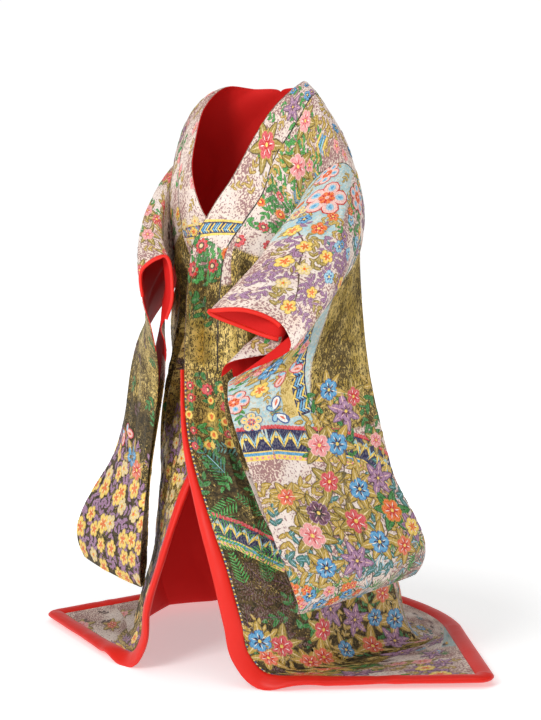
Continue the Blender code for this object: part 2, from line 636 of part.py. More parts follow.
def main():
    for old in list(bpy.data.objects):
        bpy.data.objects.remove(old)
    robe = bpy.data.collections.new("uchikake")
    bpy.context.scene.collection.children.link(robe)
    brocade = material("brocade", (0.66, 0.55, 0.48), 0.55, 0.15)
    red_silk = material("red_silk", (0.62, 0.03, 0.02), 0.45)

    left = Half(1, LEFT_FRONT, LEFT_LEVELS)
    right = Half(-1, RIGHT_FRONT, RIGHT_LEVELS)
    left.sleeve = Sleeve(1, LEFT_STATIONS, left)
    right.sleeve = Sleeve(-1, RIGHT_STATIONS, right)
    collar(left, right, brocade, robe)
    for half, name in ((left, "left"), (right, "right")):
        body_panel(half, "body_" + name, brocade, robe)
        okumi(half, "okumi_" + name, brocade, robe)
        sleeve_solid(half.sleeve, "sleeve_" + name, brocade, robe)
        hem_roll(half, "hem_roll_" + name, red_silk, robe)
        cuff_roll(half.sleeve, "cuff_roll_" + name, red_silk, robe)


main()
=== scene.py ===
"""The finish of an uchikake: brocade, embroidery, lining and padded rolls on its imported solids.

Units are metres in the solids' own frame: +Z is up, the wearer faces -Y, their left is +X,
and the origin is between the shoulders. The cloth's surfaces are the solids' own, on a finer
grid and with its creases. A place on a piece of cloth is (a, b): a across it and b along it,
both in metres of cloth.
"""

from collections import namedtuple
import math

import bmesh
import bpy
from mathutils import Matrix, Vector
import numpy as np


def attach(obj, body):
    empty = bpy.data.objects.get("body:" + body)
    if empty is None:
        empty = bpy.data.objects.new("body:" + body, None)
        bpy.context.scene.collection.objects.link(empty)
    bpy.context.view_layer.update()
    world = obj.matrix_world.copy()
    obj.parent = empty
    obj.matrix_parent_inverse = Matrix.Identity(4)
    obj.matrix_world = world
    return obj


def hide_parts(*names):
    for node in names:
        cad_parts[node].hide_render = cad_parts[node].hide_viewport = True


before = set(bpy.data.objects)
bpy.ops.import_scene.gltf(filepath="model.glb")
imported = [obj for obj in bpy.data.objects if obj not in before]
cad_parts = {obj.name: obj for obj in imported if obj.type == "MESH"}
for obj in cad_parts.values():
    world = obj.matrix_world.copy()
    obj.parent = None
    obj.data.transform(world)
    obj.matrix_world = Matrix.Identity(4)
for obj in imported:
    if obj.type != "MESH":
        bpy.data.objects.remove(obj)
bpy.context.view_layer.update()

# ---- driving dimensions ------------------------------------------------------
HOLD_HEIGHT = 1.36        # the shoulders, above the floor
CLOTH = 0.003             # brocade, padding and lining together
INNER_FACE = 0.0003       # the wall's inner face, from the surface
OUTER_FACE = INNER_FACE + CLOTH
SEAM_GAP = 0.0002         # between two sewn pieces
SEAM_LAP = 0.0008         # how far two sewn pieces lap, so that no light comes through
CUFF_SEAM_GAP = 0.0005    # more of it where the cuff turns sharply
COLLAR_WIDTH = 0.085
OKUMI_WIDTH = 0.155       # the overlap strip between the front panel and the edge
ROLL_WIDTH = 0.042        # the padded hem roll that shows past the brocade
ROLL_THICK = 0.018
CUFF_ROLL_WIDTH = 0.014
CUFF_ROLL_THICK = 0.008

# ---- places along the cloth, down from the shoulder line ---------------------
SIDE_TOP = 0.515          # the side seam's top
COLLAR_END = 0.70
OKUMI_POINT = 0.335       # where the overlap strip ends in a point under the collar
FLOOR = 1.45              # the skirt lies on the floor from here
HEM = 1.76
NECK_TURN = 0.04          # the collar starts to turn round the back of the neck
NECK_CENTRE = 0.16        # the collar's edge at the centre back
COLLAR_BACK = 0.07        # the collar's depth there, along v
ARMHOLE_FRONT = 0.355     # the sleeve is sewn on from here
ARMHOLE_BACK = 0.34       # round the shoulder to here

CLOSED_ABOVE_SIDE = 0.07  # the panels' mitre is shared from this far above the side seam
OKUMI_TAPER = 0.45        # the overlap strip narrows to its point over this length
FLOOR_FADE = 0.16         # the folds die away over this length above the floor

# ---- how far a seam's shared mitre reaches into each piece, in u ---------------
SIDE_BLEND = 0.18
BACK_BLEND = 0.10
SLEEVE_BLEND = 0.12
MITRE_SPREAD = 0.03       # an armhole's mitre is evened over this much either way
OUT_STEP = 0.01           # how far past an edge to look for the way that leads out of it
SHARP_EDGE = 50           # degrees

# ---- the number of cells -----------------------------------------------------
PANEL_CELLS = 6
STRIP_CELLS = 2
COLLAR_CELLS = 2
SLEEVE_CELLS = 8
ROLL_CELLS = 4
NECK_STEPS = 6
CORNER_STEPS = 5


# A section of the upper robe: three points (x, y, height) from the free edge to the side.
Section = namedtuple("Section", "down edge middle side")

LEFT_FRONT = [
    Section(0.000, (0.096, 0.060, 1.398), (0.175, -0.002, 1.335), (0.238, 0.000, 1.200)),
    Section(0.105, (0.088, -0.060, 1.336), (0.151, -0.077, 1.254), (0.199, -0.057, 1.168)),
    Section(0.190, (0.067, -0.115, 1.268), (0.133, -0.122, 1.176), (0.178, -0.101, 1.113)),
    Section(0.275, (0.035, -0.166, 1.170), (0.125, -0.143, 1.105), (0.178, -0.104, 1.050)),
    Section(0.355, (-0.005, -0.190, 1.100), (0.118, -0.149, 1.034), (0.191, -0.070, 0.988)),
    Section(0.435, (-0.050, -0.208, 1.010), (0.122, -0.154, 0.965), (0.208, -0.020, 0.935)),
]
RIGHT_FRONT = [
    Section(0.000, (-0.112, 0.050, 1.392), (-0.178, -0.002, 1.332), (-0.235, 0.000, 1.200)),
    Section(0.105, (-0.116, -0.050, 1.336), (-0.168, -0.074, 1.250), (-0.201, -0.058, 1.170)),
    Section(0.190, (-0.100, -0.112, 1.268), (-0.149, -0.123, 1.178), (-0.183, -0.102, 1.112)),
    Section(0.275, (-0.082, -0.160, 1.180), (-0.135, -0.141, 1.108), (-0.180, -0.104, 1.050)),
    Section(0.355, (-0.045, -0.178, 1.095), (-0.125, -0.148, 1.035), (-0.192, -0.068, 0.985)),
    Section(0.435, (0.018, -0.180, 1.005), (-0.120, -0.150, 0.965), (-0.208, -0.020, 0.935)),
]
UPPER_BACK = [
    Section(0.080, (0.070, 0.100, 1.390), (0.190, 0.050, 1.290), (0.245, 0.050, 1.170)),
    Section(0.160, (0.000, 0.120, 1.378), (0.135, 0.110, 1.270), (0.248, 0.078, 1.120)),
    Section(0.250, (0.000, 0.142, 1.270), (0.130, 0.128, 1.200), (0.246, 0.090, 1.060)),
    Section(0.340, (0.000, 0.150, 1.160), (0.128, 0.138, 1.110), (0.238, 0.085, 0.990)),
    Section(0.430, (0.000, 0.165, 1.040), (0.135, 0.140, 1.010), (0.225, 0.045, 0.925)),
]

# A level of the skirt: its front edge, its side seam and its centre back, each (x, y),
# and how round it is between them: 0.5 is straight, 0.71 is a quarter of an ellipse.
Level = namedtuple("Level", "down height edge side back front_round back_round")

LEFT_LEVELS = [
    Level(0.515, 0.900, (-0.064, -0.213), (0.222, 0.015), 0.180, 0.70, 0.70),
    Level(0.555, 0.860, (-0.065, -0.216), (0.233, 0.020), 0.185, 0.70, 0.70),
    Level(0.715, 0.700, (-0.062, -0.230), (0.250, 0.035), 0.215, 0.68, 0.68),
    Level(0.870, 0.550, (-0.044, -0.242), (0.270, 0.052), 0.250, 0.67, 0.66),
    Level(1.025, 0.400, (0.014, -0.258), (0.290, 0.070), 0.285, 0.66, 0.65),
    Level(1.180, 0.250, (0.088, -0.280), (0.310, 0.095), 0.325, 0.66, 0.64),
    Level(1.295, 0.140, (0.127, -0.285), (0.325, 0.122), 0.365, 0.66, 0.63),
    Level(1.370, 0.070, (0.145, -0.281), (0.336, 0.150), 0.400, 0.64, 0.62),
    Level(1.420, 0.028, (0.178, -0.266), (0.348, 0.185), 0.432, 0.61, 0.61),
    Level(1.500, 0.012, (0.290, -0.190), (0.368, 0.235), 0.475, 0.60, 0.60),
    Level(1.620, 0.010, (0.440, -0.092), (0.372, 0.300), 0.535, 0.44, 0.59),
    Level(1.760, 0.011, (0.590, 0.000), (0.345, 0.372), 0.605, 0.50, 0.58),
]
RIGHT_LEVELS = [
    Level(0.515, 0.900, (0.055, -0.172), (-0.222, 0.015), 0.180, 0.69, 0.70),
    Level(0.555, 0.860, (0.060, -0.170), (-0.235, 0.020), 0.185, 0.68, 0.70),
    Level(0.715, 0.700, (0.012, -0.164), (-0.257, 0.035), 0.215, 0.66, 0.68),
    Level(0.870, 0.550, (-0.036, -0.186), (-0.285, 0.050), 0.250, 0.63, 0.66),
    Level(1.025, 0.400, (-0.084, -0.222), (-0.316, 0.060), 0.285, 0.56, 0.65),
    Level(1.180, 0.250, (-0.113, -0.262), (-0.352, 0.078), 0.325, 0.50, 0.64),
    Level(1.295, 0.140, (-0.140, -0.280), (-0.366, 0.112), 0.365, 0.53, 0.63),
    Level(1.370, 0.070, (-0.152, -0.280), (-0.374, 0.144), 0.400, 0.58, 0.62),
    Level(1.420, 0.028, (-0.185, -0.266), (-0.382, 0.178), 0.432, 0.61, 0.61),
    Level(1.500, 0.012, (-0.295, -0.198), (-0.408, 0.222), 0.475, 0.60, 0.60),
    Level(1.620, 0.010, (-0.445, -0.105), (-0.438, 0.275), 0.535, 0.50, 0.59),
    Level(1.760, 0.011, (-0.590, -0.014), (-0.452, 0.340), 0.605, 0.50, 0.58),
]

# A soft fold of the skirt: its place across (u), half its width in u, how far it stands
# out, where it starts and is full along |v|, and how far it leans in u on the way down.
Fold = namedtuple("Fold", "across half_width height start full lean")

LEFT_FRONT_FOLDS = [
    Fold(0.36, 0.17, 0.014, 0.62, 1.25, 0.10),
    Fold(0.72, 0.16, -0.012, 0.75, 1.30, -0.04),
]
RIGHT_FRONT_FOLDS = [
    Fold(0.44, 0.18, 0.008, 0.70, 1.30, 0.05),
    Fold(0.76, 0.15, -0.010, 0.80, 1.30, -0.05),
]
BACK_FOLDS = [
    Fold(0.30, 0.18, 0.016, 0.62, 1.20, -0.06),
    Fold(0.68, 0.19, 0.015, 0.70, 1.30, 0.04),
]

# A station round a sleeve, from the bottom seam up its inner layer, over its top fold
# and down its outer layer: its end by the body, its end at the cuff, how far its middle
# stands out, and its place on the armhole if it is sewn there.
Station = namedtuple("Station", "name body cuff bulge armhole")

LEFT_STATIONS = [
    Station("bottom_inner", (0.416, 0.034, 0.232), (0.262, -0.260, 0.174), 0.010, None),
    Station("inner_hem", (0.410, 0.036, 0.245), (0.263, -0.259, 0.190), 0.006, None),
    Station("inner_low", (0.332, 0.005, 0.500), (0.177, -0.296, 0.430), 0.004, None),
    Station("inner_high", (0.256, -0.046, 0.800), (0.094, -0.303, 0.662), -0.004, None),
    Station("inner_tuck", (0.224, -0.076, 0.910), (0.095, -0.285, 0.742), -0.018, None),
    Station("inner_below", (0.205, -0.074, 0.946), (0.176, -0.210, 0.770), 0.003, None),
    Station("inner_ridge", None, (0.185, -0.197, 0.800), 0.010, -0.355),
    Station("inner_above", None, (0.180, -0.207, 0.801), 0.015, -0.324),
    Station("inner_cuff", None, (0.108, -0.242, 0.828), 0.022, -0.200),
    Station("top", None, (0.060, -0.304, 0.864), 0.030, -0.090),
    Station("outer_cuff", None, (0.130, -0.267, 0.869), 0.048, 0.000),
    Station("outer_above", None, (0.186, -0.202, 0.829), 0.064, 0.090),
    Station("outer_ridge", None, (0.219, -0.217, 0.779), 0.058, 0.174),
    Station("outer_below", None, (0.208, -0.227, 0.765), 0.052, 0.230),
    Station("outer_tuck", None, (0.127, -0.297, 0.719), 0.053, 0.340),
    Station("outer_high", (0.300, -0.010, 0.800), (0.101, -0.301, 0.680), 0.034, None),
    Station("outer_low", (0.368, -0.008, 0.495), (0.187, -0.306, 0.441), 0.025, None),
    Station("outer_hem", (0.430, 0.030, 0.244), (0.269, -0.264, 0.184), 0.015, None),
    Station("bottom_outer", (0.420, 0.032, 0.230), (0.267, -0.258, 0.177), 0.008, None),
]
RIGHT_STATIONS = [
    Station("bottom_inner", (-0.488, -0.050, 0.192), (-0.199, -0.210, 0.174), 0.010, None),
    Station("inner_hem", (-0.476, -0.046, 0.212), (-0.198, -0.208, 0.188), 0.006, None),
    Station("inner_low", (-0.345, -0.070, 0.500), (-0.172, -0.216, 0.450), 0.006, None),
    Station("inner_high", (-0.240, -0.078, 0.780), (-0.128, -0.216, 0.714), 0.004, None),
    Station("inner_tuck", (-0.210, -0.076, 0.915), (-0.113, -0.240, 0.780), 0.006, None),
    Station("inner_below", (-0.208, -0.056, 0.955), (-0.115, -0.252, 0.814), 0.008, None),
    Station("inner_ridge", None, (-0.108, -0.245, 0.835), 0.012, -0.355),
    Station("inner_cuff", None, (-0.090, -0.245, 0.905), 0.022, -0.200),
    Station("top", None, (-0.098, -0.262, 0.985), 0.026, -0.090),
    Station("outer_cuff", None, (-0.166, -0.248, 0.955), 0.034, 0.000),
    Station("outer_ridge", None, (-0.175, -0.236, 0.885), 0.042, 0.150),
    Station("outer_tuck", None, (-0.142, -0.248, 0.810), 0.052, 0.340),
    Station("outer_high", (-0.292, -0.042, 0.792), (-0.130, -0.239, 0.700), 0.034, None),
    Station("outer_low", (-0.372, -0.060, 0.500), (-0.1745, -0.2195, 0.450), 0.018, None),
    Station("outer_hem", (-0.496, -0.060, 0.208), (-0.194, -0.224, 0.184), 0.006, None),
    Station("bottom_outer", (-0.490, -0.054, 0.190), (-0.2005, -0.212, 0.174), 0.012, None),
]
# The cuff's mouth has its roll between these two stations.
CUFF_ENDS = {1: ("inner_above", "outer_above"), -1: ("inner_ridge", "outer_ridge")}
SLEEVE_OUT = {1: (0.93, -0.37, 0.0), -1: (-0.86, -0.51, 0.0)}    # away from the body


# ---- curves and surfaces -----------------------------------------------------
def placed(point):
    """A table's point, with its height taken from the shoulders instead of the floor."""
    return np.array((point[0], point[1], point[2] - HOLD_HEIGHT))


def unit(vectors):
    return vectors / np.maximum(np.linalg.norm(vectors, axis=-1, keepdims=True), 1e-9)


def smooth_step(t):
    t = np.clip(t, 0.0, 1.0)
    return t * t * (3 - 2 * t)


def slopes(knots, values):
    """Catmull-Rom slopes at uneven knots."""
    steps = np.diff(knots).reshape(-1, *[1] * (values.ndim - 1))
    chords = np.diff(values, axis=0) / steps
    inner = (chords[:-1] * steps[1:] + chords[1:] * steps[:-1]) / (steps[:-1] + steps[1:])
    return np.concatenate([chords[:1], inner, chords[-1:]])


def curve(knots, values, tangents, t):
    """A smooth curve through values at knots, read at every t."""
    i = np.clip(np.searchsorted(knots, t, side="right") - 1, 0, len(knots) - 2)
    step = knots[i + 1] - knots[i]
    s = (t - knots[i]) / step
    shape = (-1, *[1] * (values.ndim - 1))
    s, step = s.reshape(shape), step.reshape(shape)
    return (
        values[i] * (2 * s**3 - 3 * s**2 + 1)
        + tangents[i] * step * (s**3 - 2 * s**2 + s)
        + values[i + 1] * (3 * s**2 - 2 * s**3)
        + tangents[i + 1] * step * (s**3 - s**2)
    )


def across(columns, u):
    """The point at u on the parabola through each row's three points."""
    u = u[:, None]
    edge, middle, side = columns[:, 0], columns[:, 1], columns[:, 2]
    return (
        edge * (2 * u - 1) * (u - 1) + middle * 4 * u * (1 - u) + side * u * (2 * u - 1)
    )


def runs(*stops):
    """Places along the cloth: each stop is (place, cells up to it)."""
    places = [stops[0][0]]
    for place, cells in stops[1:]:
        places += list(np.linspace(places[-1], place, cells + 1)[1:])
    return np.array(places)


FRONT_SKIRT = runs((-HEM, 0), (-1.62, 2), (-1.26, 9), (-COLLAR_END, 9))
FRONT_CHEST = runs((-COLLAR_END, 0), (-SIDE_TOP, 3), (-ARMHOLE_FRONT, 4), (-0.20, 5), (0, 5))
BACK_CHEST = runs((NECK_CENTRE + COLLAR_BACK + SEAM_GAP, 0), (ARMHOLE_BACK, 3), (SIDE_TOP, 4))
BACK_SKIRT = runs((SIDE_TOP, 0), (COLLAR_END, 3), (1.26, 9), (1.62, 9), (HEM, 2))


def neck_turn(extra=0.0, steps=NECK_STEPS):
    """Places down the back where the collar seam turns, one for each step of the turn."""
    angles = np.linspace(0, math.pi / 2, steps + 1)
    return NECK_TURN + (NECK_CENTRE + COLLAR_BACK + extra - NECK_TURN) * np.sin(angles)


BODY_ROWS = np.concatenate([
    FRONT_SKIRT, FRONT_CHEST[1:], neck_turn(SEAM_GAP), BACK_CHEST[1:], BACK_SKIRT[1:]
])


class Surface:
    """A smooth sheet through rows of three points, with a normal at every place."""

    def __init__(self, knots, net, outward):
        self.knots = np.array(knots)
        self.net = np.array(net)
        self.tangents = slopes(self.knots, self.net)
        self.outward = outward

    def bare(self, u, v):
        return across(curve(self.knots, self.net, self.tangents, v), u)

    def facing(self, sheet, u, v, step=0.004):
        """The normal of a sheet, given as its points' function."""
        along_u = sheet(u + step, v) - sheet(u - step, v)
        along_v = sheet(u, v + step) - sheet(u, v - step)
        return self.outward * unit(np.cross(along_u, along_v))

    def relief(self, u, v):
        return np.zeros_like(u)

    def at(self, u, v):
        return self.bare(u, v) + self.facing(self.bare, u, v) * self.relief(u, v)[:, None]

    def normal(self, u, v):
        return self.facing(self.at, u, v)


class Half(Surface):
    """One half of the body, with the collar and the overlap strip."""

    def __init__(self, side, front, levels):
        self.side = side
        knots, net = [], []
        for level in reversed(levels):
            edge, seam = np.array(level.edge), np.array(level.side)
            middle = np.array((
                edge[0] + (seam[0] - edge[0]) * level.front_round,
                seam[1] + (edge[1] - seam[1]) * level.front_round,
            ))
            knots.append(-level.down)
            net.append([placed((*p, level.height)) for p in (edge, middle, seam)])
        for row in reversed(front):
            knots.append(-row.down)
            net.append([placed(p) for p in row[1:]])
        for row in UPPER_BACK:
            knots.append(row.down)
            net.append([placed((side * p[0], p[1], p[2])) for p in row[1:]])
        for level in levels:
            seam = np.array(level.side)
            middle = (
                seam[0] * level.back_round,
                seam[1] + (level.back - seam[1]) * level.back_round,
            )
            knots.append(level.down)
            net.append([placed((*p, level.height)) for p in ((0, level.back), middle, seam)])
        super().__init__(knots, net, side)
        for end in (-SIDE_TOP, SIDE_TOP):    # the side seam closes here on both panels
            i = int(np.argmin(abs(self.knots - end)))
            j = i + (1 if end > 0 else -1)
            self.tangents[i, 2] = (self.net[j, 2] - self.net[i, 2]) / (
                self.knots[j] - self.knots[i]
            )
        self.tangents[self.knots >= NECK_CENTRE, 0, 0] = 0    # the centre back stays at x = 0
        self.front_folds = LEFT_FRONT_FOLDS if side > 0 else RIGHT_FRONT_FOLDS
        self.sleeve = None

    def relief(self, u, v):
        """How far the skirt's folds stand out."""
        total = np.zeros_like(u)
        for front, folds in ((True, self.front_folds), (False, BACK_FOLDS)):
            on = (v < 0) == front
            for fold in folds:
                grown = smooth_step((abs(v) - fold.start) / (fold.full - fold.start))
                centre = fold.across + fold.lean * grown
                near = np.clip((u - centre) / fold.half_width, -1, 1)
                total += on * fold.height * grown * np.cos(near * math.pi / 2) ** 2
        return total * smooth_step((FLOOR - abs(v)) / FLOOR_FADE)

    def u_at(self, width, v):
        """The u that lies width along the cloth from the free edge, at each v."""
        steps = np.linspace(0, 1, 41)
        widths = np.broadcast_to(width, v.shape)
        found = np.empty(len(v))
        for k, place in enumerate(v):
            row = self.bare(steps, np.full(len(steps), place))
            length = np.concatenate([[0], np.cumsum(np.linalg.norm(np.diff(row, axis=0), axis=1))])
            found[k] = np.interp(widths[k], length, steps)
        return found

    def collar_u(self, v, extra=0.0):
        """The collar seam's u: a straight band on the front, then a turn behind the neck."""
        depth = NECK_CENTRE + COLLAR_BACK + extra - NECK_TURN
        turn = np.clip((v - NECK_TURN) / depth, 0, 1)
        return self.u_at(COLLAR_WIDTH, np.minimum(v, NECK_TURN)) * np.sqrt(1 - turn**2)

    def okumi_u(self, v):
        """The overlap strip's seam: straight up from the hem, to a point at the collar."""
        below = np.clip((-v - OKUMI_POINT) / OKUMI_TAPER, 0, 1)
        top = COLLAR_WIDTH + 2 * SEAM_GAP
        return self.u_at(top + (OKUMI_WIDTH - top) * below, v)

    def mitre(self, v):
        """Half way between the normals of the two pieces that are sewn together at v."""
        ones = np.ones_like(v)
        own = self.normal(ones, v)
        other = own.copy()
        closed = abs(v) >= SIDE_TOP - CLOSED_ABOVE_SIDE
        other[closed] = self.normal(ones, -v)[closed]
        if self.sleeve is not None:
            first, last = self.sleeve.armhole_v[0], self.sleeve.armhole_v[-1]
            sewn = (v > first - 1e-6) & (v < last + 1e-6)
            if sewn.any():
                w = self.sleeve.w_at(v[sewn])
                other[sewn] = self.sleeve.normal(np.zeros_like(w), w)
        return unit(own + other)

    def seam_direction(self, v):
        """The way the wall's thickness runs at the side: shared with what is sewn there."""
        first, last = self.sleeve.armhole_v[0], self.sleeve.armhole_v[-1]
        sewn = (v > first + MITRE_SPREAD / 2) & (v < last - MITRE_SPREAD / 2)
        spread_out = MITRE_SPREAD * sewn
        return unit(self.mitre(v - spread_out) + self.mitre(v) + self.mitre(v + spread_out))

    def directions(self, u, v):
        """The way the wall's thickness runs everywhere on this half."""
        own = self.normal(u, v)
        near_side = smooth_step(1 - (1 - u) / SIDE_BLEND)[:, None]
        found = own * (1 - near_side) + self.seam_direction(v) * near_side
        at_back = smooth_step(1 - u / BACK_BLEND) * (v > NECK_TURN)
        found[:, 0] *= 1 - at_back * smooth_step((v - NECK_TURN) / (NECK_CENTRE - NECK_TURN))
        return unit(found)


class Sleeve(Surface):
    """One hanging sleeve. u runs from the body to the cuff, w goes round the sleeve."""

    def __init__(self, side, stations, half):
        self.side = side
        self.half = half
        sewn = np.array([s.armhole for s in stations if s.armhole is not None])
        self.armhole_v = BODY_ROWS[abs(BODY_ROWS[None, :] - sewn[:, None]).argmin(axis=1)]
        seams = iter(half.bare(np.ones(len(self.armhole_v)), self.armhole_v))
        net = []
        for station in stations:
            body = next(seams) if station.body is None else placed(station.body)
            cuff = placed(station.cuff)
            out = np.array(SLEEVE_OUT[side]) * station.bulge
            net.append([body, (body + cuff) / 2 + out, cuff])
        net = np.array(net)
        steps = np.linalg.norm(np.diff(net, axis=0), axis=2).mean(axis=1)
        knots = np.concatenate([[0], np.cumsum(steps)])
        self.names = [s.name for s in stations]
        self.armhole_w = knots[[s.armhole is not None for s in stations]]
        super().__init__(knots, net, side)

    def w_of(self, name):
        return self.knots[self.names.index(name)]

    def w_at(self, v):
        return np.interp(v, self.armhole_v, self.armhole_w)

    def bare(self, u, v):
        """The sheet, whose end by the body follows the armhole where it is sewn."""
        columns = curve(self.knots, self.net, self.tangents, v)
        sewn = (v > self.armhole_w[0]) & (v < self.armhole_w[-1])
        if sewn.any():
            place = np.interp(v[sewn], self.armhole_w, self.armhole_v)
            columns[sewn, 0] = self.half.bare(np.ones(len(place)), place)
        return across(columns, u)

    def directions(self, u, w):
        own = self.normal(u, w)
        sewn = (w >= self.armhole_w[0] - 1e-6) & (w <= self.armhole_w[-1] + 1e-6)
        if sewn.any():
            place = np.interp(w[sewn], self.armhole_w, self.armhole_v)
            shared = self.half.seam_direction(place)
            near = smooth_step(1 - u[sewn] / SLEEVE_BLEND)[:, None]
            own[sewn] = unit(own[sewn] * (1 - near) + shared * near)
        return own


def squared(lead, edge, up):
    """Directions that lead away from an edge, square to it and to its wall's thickness."""
    along = unit(np.gradient(edge, axis=0))
    lead = lead - along * (lead * along).sum(axis=1, keepdims=True)
    return unit(lead - up * (lead * up).sum(axis=1, keepdims=True))


# ---- finer grids over the same surfaces ----------------------------------------
FINER = 6                 # cells here for each of the solids' cells
EDGE_FADE = 0.02          # creases die away this close to a seam
SEAM_DIP = 0.0011         # the cloth turns down into its seams
SEAM_DIP_WIDTH = 0.005
THREAD = 0.00025          # one layer of laid threads


def finer(places, by=FINER):
    """The same places with by cells for each one."""
    steps = np.arange(len(places) - 1)[:, None] + np.linspace(0, 1, by, endpoint=False)
    return np.append(np.interp(steps.ravel(), np.arange(len(places)), places), places[-1])


FINE_BODY_ROWS = np.concatenate([
    finer(FRONT_SKIRT),
    finer(FRONT_CHEST)[1:],
    finer(np.array([0, NECK_TURN]))[1:-1],
    neck_turn(SEAM_GAP, NECK_STEPS * FINER),
    finer(BACK_CHEST)[1:],
    finer(BACK_SKIRT)[1:],
])

# A crease: from (a, b) to (a, b), how far its middle bows aside, its half width and its
# height, below zero for a trough. It keeps near its full height between its ends.
CREASE_ENDS = 0.7
Crease = namedtuple("Crease", "a b to_a to_b bow width height")


def crease_relief(creases, a, b):
    """How far the creases lift the cloth at each place."""
    lift = np.zeros_like(a)
    for c in creases:
        length = math.hypot(c.to_a - c.a, c.to_b - c.b)
        along_a, along_b = (c.to_a - c.a) / length, (c.to_b - c.b) / length
        share = ((a - c.a) * along_a + (b - c.b) * along_b) / length
        aside = (a - c.a) * along_b - (b - c.b) * along_a
        inside = np.clip(share, 0, 1)
        off = aside - c.bow * 4 * inside * (1 - inside)
        lift += c.height * np.sin(math.pi * inside) ** CREASE_ENDS * np.exp(-((off / c.width) ** 2))
    return lift


class Cloth:
    """A piece of cloth: its two faces as grids, and the places of its threads."""

    def __init__(self, name, sheet, u, v):
        self.name = name
        points = sheet.at(u.ravel(), v.ravel()).reshape(*u.shape, 3)
        up = sheet.directions(u.ravel(), v.ravel()).reshape(*u.shape, 3)
        steps = np.linalg.norm(np.diff(points, axis=0), axis=2)
        self.a = np.concatenate([np.zeros((1, u.shape[1])), np.cumsum(steps, axis=0)])
        self.b = v
        self.rows = v[-1]
        self.width = self.a[-1]
        back = np.zeros_like(points)
        for edge, neighbour in ((0, 1), (-1, -2)):
            lead = points[neighbour] - points[edge]
            back[edge] = squared(lead, points[edge], up[edge]) * -SEAM_LAP / 2
        points = points + back
        from_edge = np.minimum(self.a, self.width - self.a)
        from_end = np.minimum(self.rows - self.rows[0], self.rows[-1] - self.rows)
        fade = smooth_step(from_edge / EDGE_FADE) * smooth_step(from_end / EDGE_FADE)
        lift = crease_relief(creases_on(name), self.a, self.b) * fade
        dip = SEAM_DIP * smooth_step(1 - from_edge / SEAM_DIP_WIDTH)
        self.inner = points + up * (INNER_FACE + lift)[..., None]
        self.outer = points + up * (OUTER_FACE + lift - dip)[..., None]
        self.up = up
        self.area = float((steps.sum(axis=0)[1:] * np.diff(self.rows)).sum())
        middle = [n // 2 for n in u.shape]
        along_a = points[middle[0] + 1, middle[1]] - points[middle[0], middle[1]]
        along_b = points[middle[0], middle[1] + 1] - points[middle[0], middle[1]]
        facing = np.cross(along_a, along_b) @ up[middle[0], middle[1]]
        self.handed = 1 if facing > 0 else -1

    def place(self, a, b, height):
        """Points on the outer face at places (a, b), lifted off it by height."""
        row = np.interp(b, self.rows, np.arange(len(self.rows)))
        width = np.interp(b, self.rows, self.width)
        column = np.clip(a / np.maximum(width, 1e-4), 0, 1) * (len(self.a) - 1)
        i = np.minimum(column.astype(int), len(self.a) - 2)
        j = np.minimum(row.astype(int), len(self.rows) - 2)
        s, t = (column - i)[:, None], (row - j)[:, None]

        def blend(grid):
            near = grid[i, j] * (1 - s) + grid[i + 1, j] * s
            far = grid[i, j + 1] * (1 - s) + grid[i + 1, j + 1] * s
            return near * (1 - t) + far * t

        return blend(self.outer) + blend(self.up) * height[:, None]


def spread(first, last, cells):
    """u across a piece whose two edges are given at each place along it."""
    share = np.linspace(0, 1, cells + 1)[:, None]
    return first[None, :] * (1 - share) + last[None, :] * share


def body_cloth(half, name):
    v = FINE_BODY_ROWS
    seam = half.collar_u(v, SEAM_GAP * (v > NECK_TURN))
    strip = v < -OKUMI_POINT
    seam[strip] = np.maximum(seam, half.okumi_u(v))[strip]
    u = spread(seam, np.ones_like(v), PANEL_CELLS * FINER)
    return Cloth(name, half, u, np.broadcast_to(v, u.shape))


NOTCH_CLEAR = 0.002       # no other row comes this close to the collar's notch


def okumi_cloth(half, name):
    """The overlap strip, notched at its top for the collar's end."""
    below = finer(FRONT_SKIRT)
    notch = np.array([-COLLAR_END - 3 * SEAM_GAP, -COLLAR_END - SEAM_GAP])
    above = finer(FRONT_CHEST)
    above = above[(above > -COLLAR_END + NOTCH_CLEAR) & (above < -OKUMI_POINT - NOTCH_CLEAR)]
    v = np.concatenate([below[below < notch[0] - NOTCH_CLEAR], notch, above])
    start = half.collar_u(v)
    start[v < -COLLAR_END - 2 * SEAM_GAP] = 0.0
    u = spread(start, half.okumi_u(v), STRIP_CELLS * FINER)
    return Cloth(name, half, u, np.broadcast_to(v, u.shape))


def collar_cloth(half, name):
    """One half of the collar's band, from its end on the front to the centre back."""
    turn = neck_turn(0.0, NECK_STEPS * FINER)
    rising = finer(np.array([0, NECK_TURN]))[1:-1]
    front = np.concatenate([finer(FRONT_CHEST), rising])
    seam_v = np.concatenate([front, turn])
    edge_v = np.concatenate([front, np.linspace(NECK_TURN, NECK_CENTRE, len(turn))])
    share = np.linspace(0, 1, COLLAR_CELLS * FINER + 1)[:, None]
    u = share * half.collar_u(seam_v)[None, :]
    v = edge_v[None, :] * (1 - share) + seam_v[None, :] * share
    return Cloth(name, half, u, v)


def sleeve_rows(sleeve):
    """Places round a sleeve, the solid's and those between them."""
    first, last = sleeve.armhole_v[0], sleeve.armhole_v[-1]
    sewn = FINE_BODY_ROWS[(FINE_BODY_ROWS > first - 1e-6) & (FINE_BODY_ROWS < last + 1e-6)]
    w = sleeve.w_of
    up = runs((w("bottom_inner"), 0), (w("inner_hem"), 1), (w("inner_high"), 7),
              (w("inner_tuck"), 2), (w("inner_below"), 2), (w("inner_ridge"), 1))
    down = runs((w("outer_tuck"), 0), (w("outer_high"), 2), (w("outer_hem"), 8),
                (w("bottom_outer"), 1))
    return np.concatenate([finer(up)[:-1], sleeve.w_at(sewn), finer(down)[1:]])


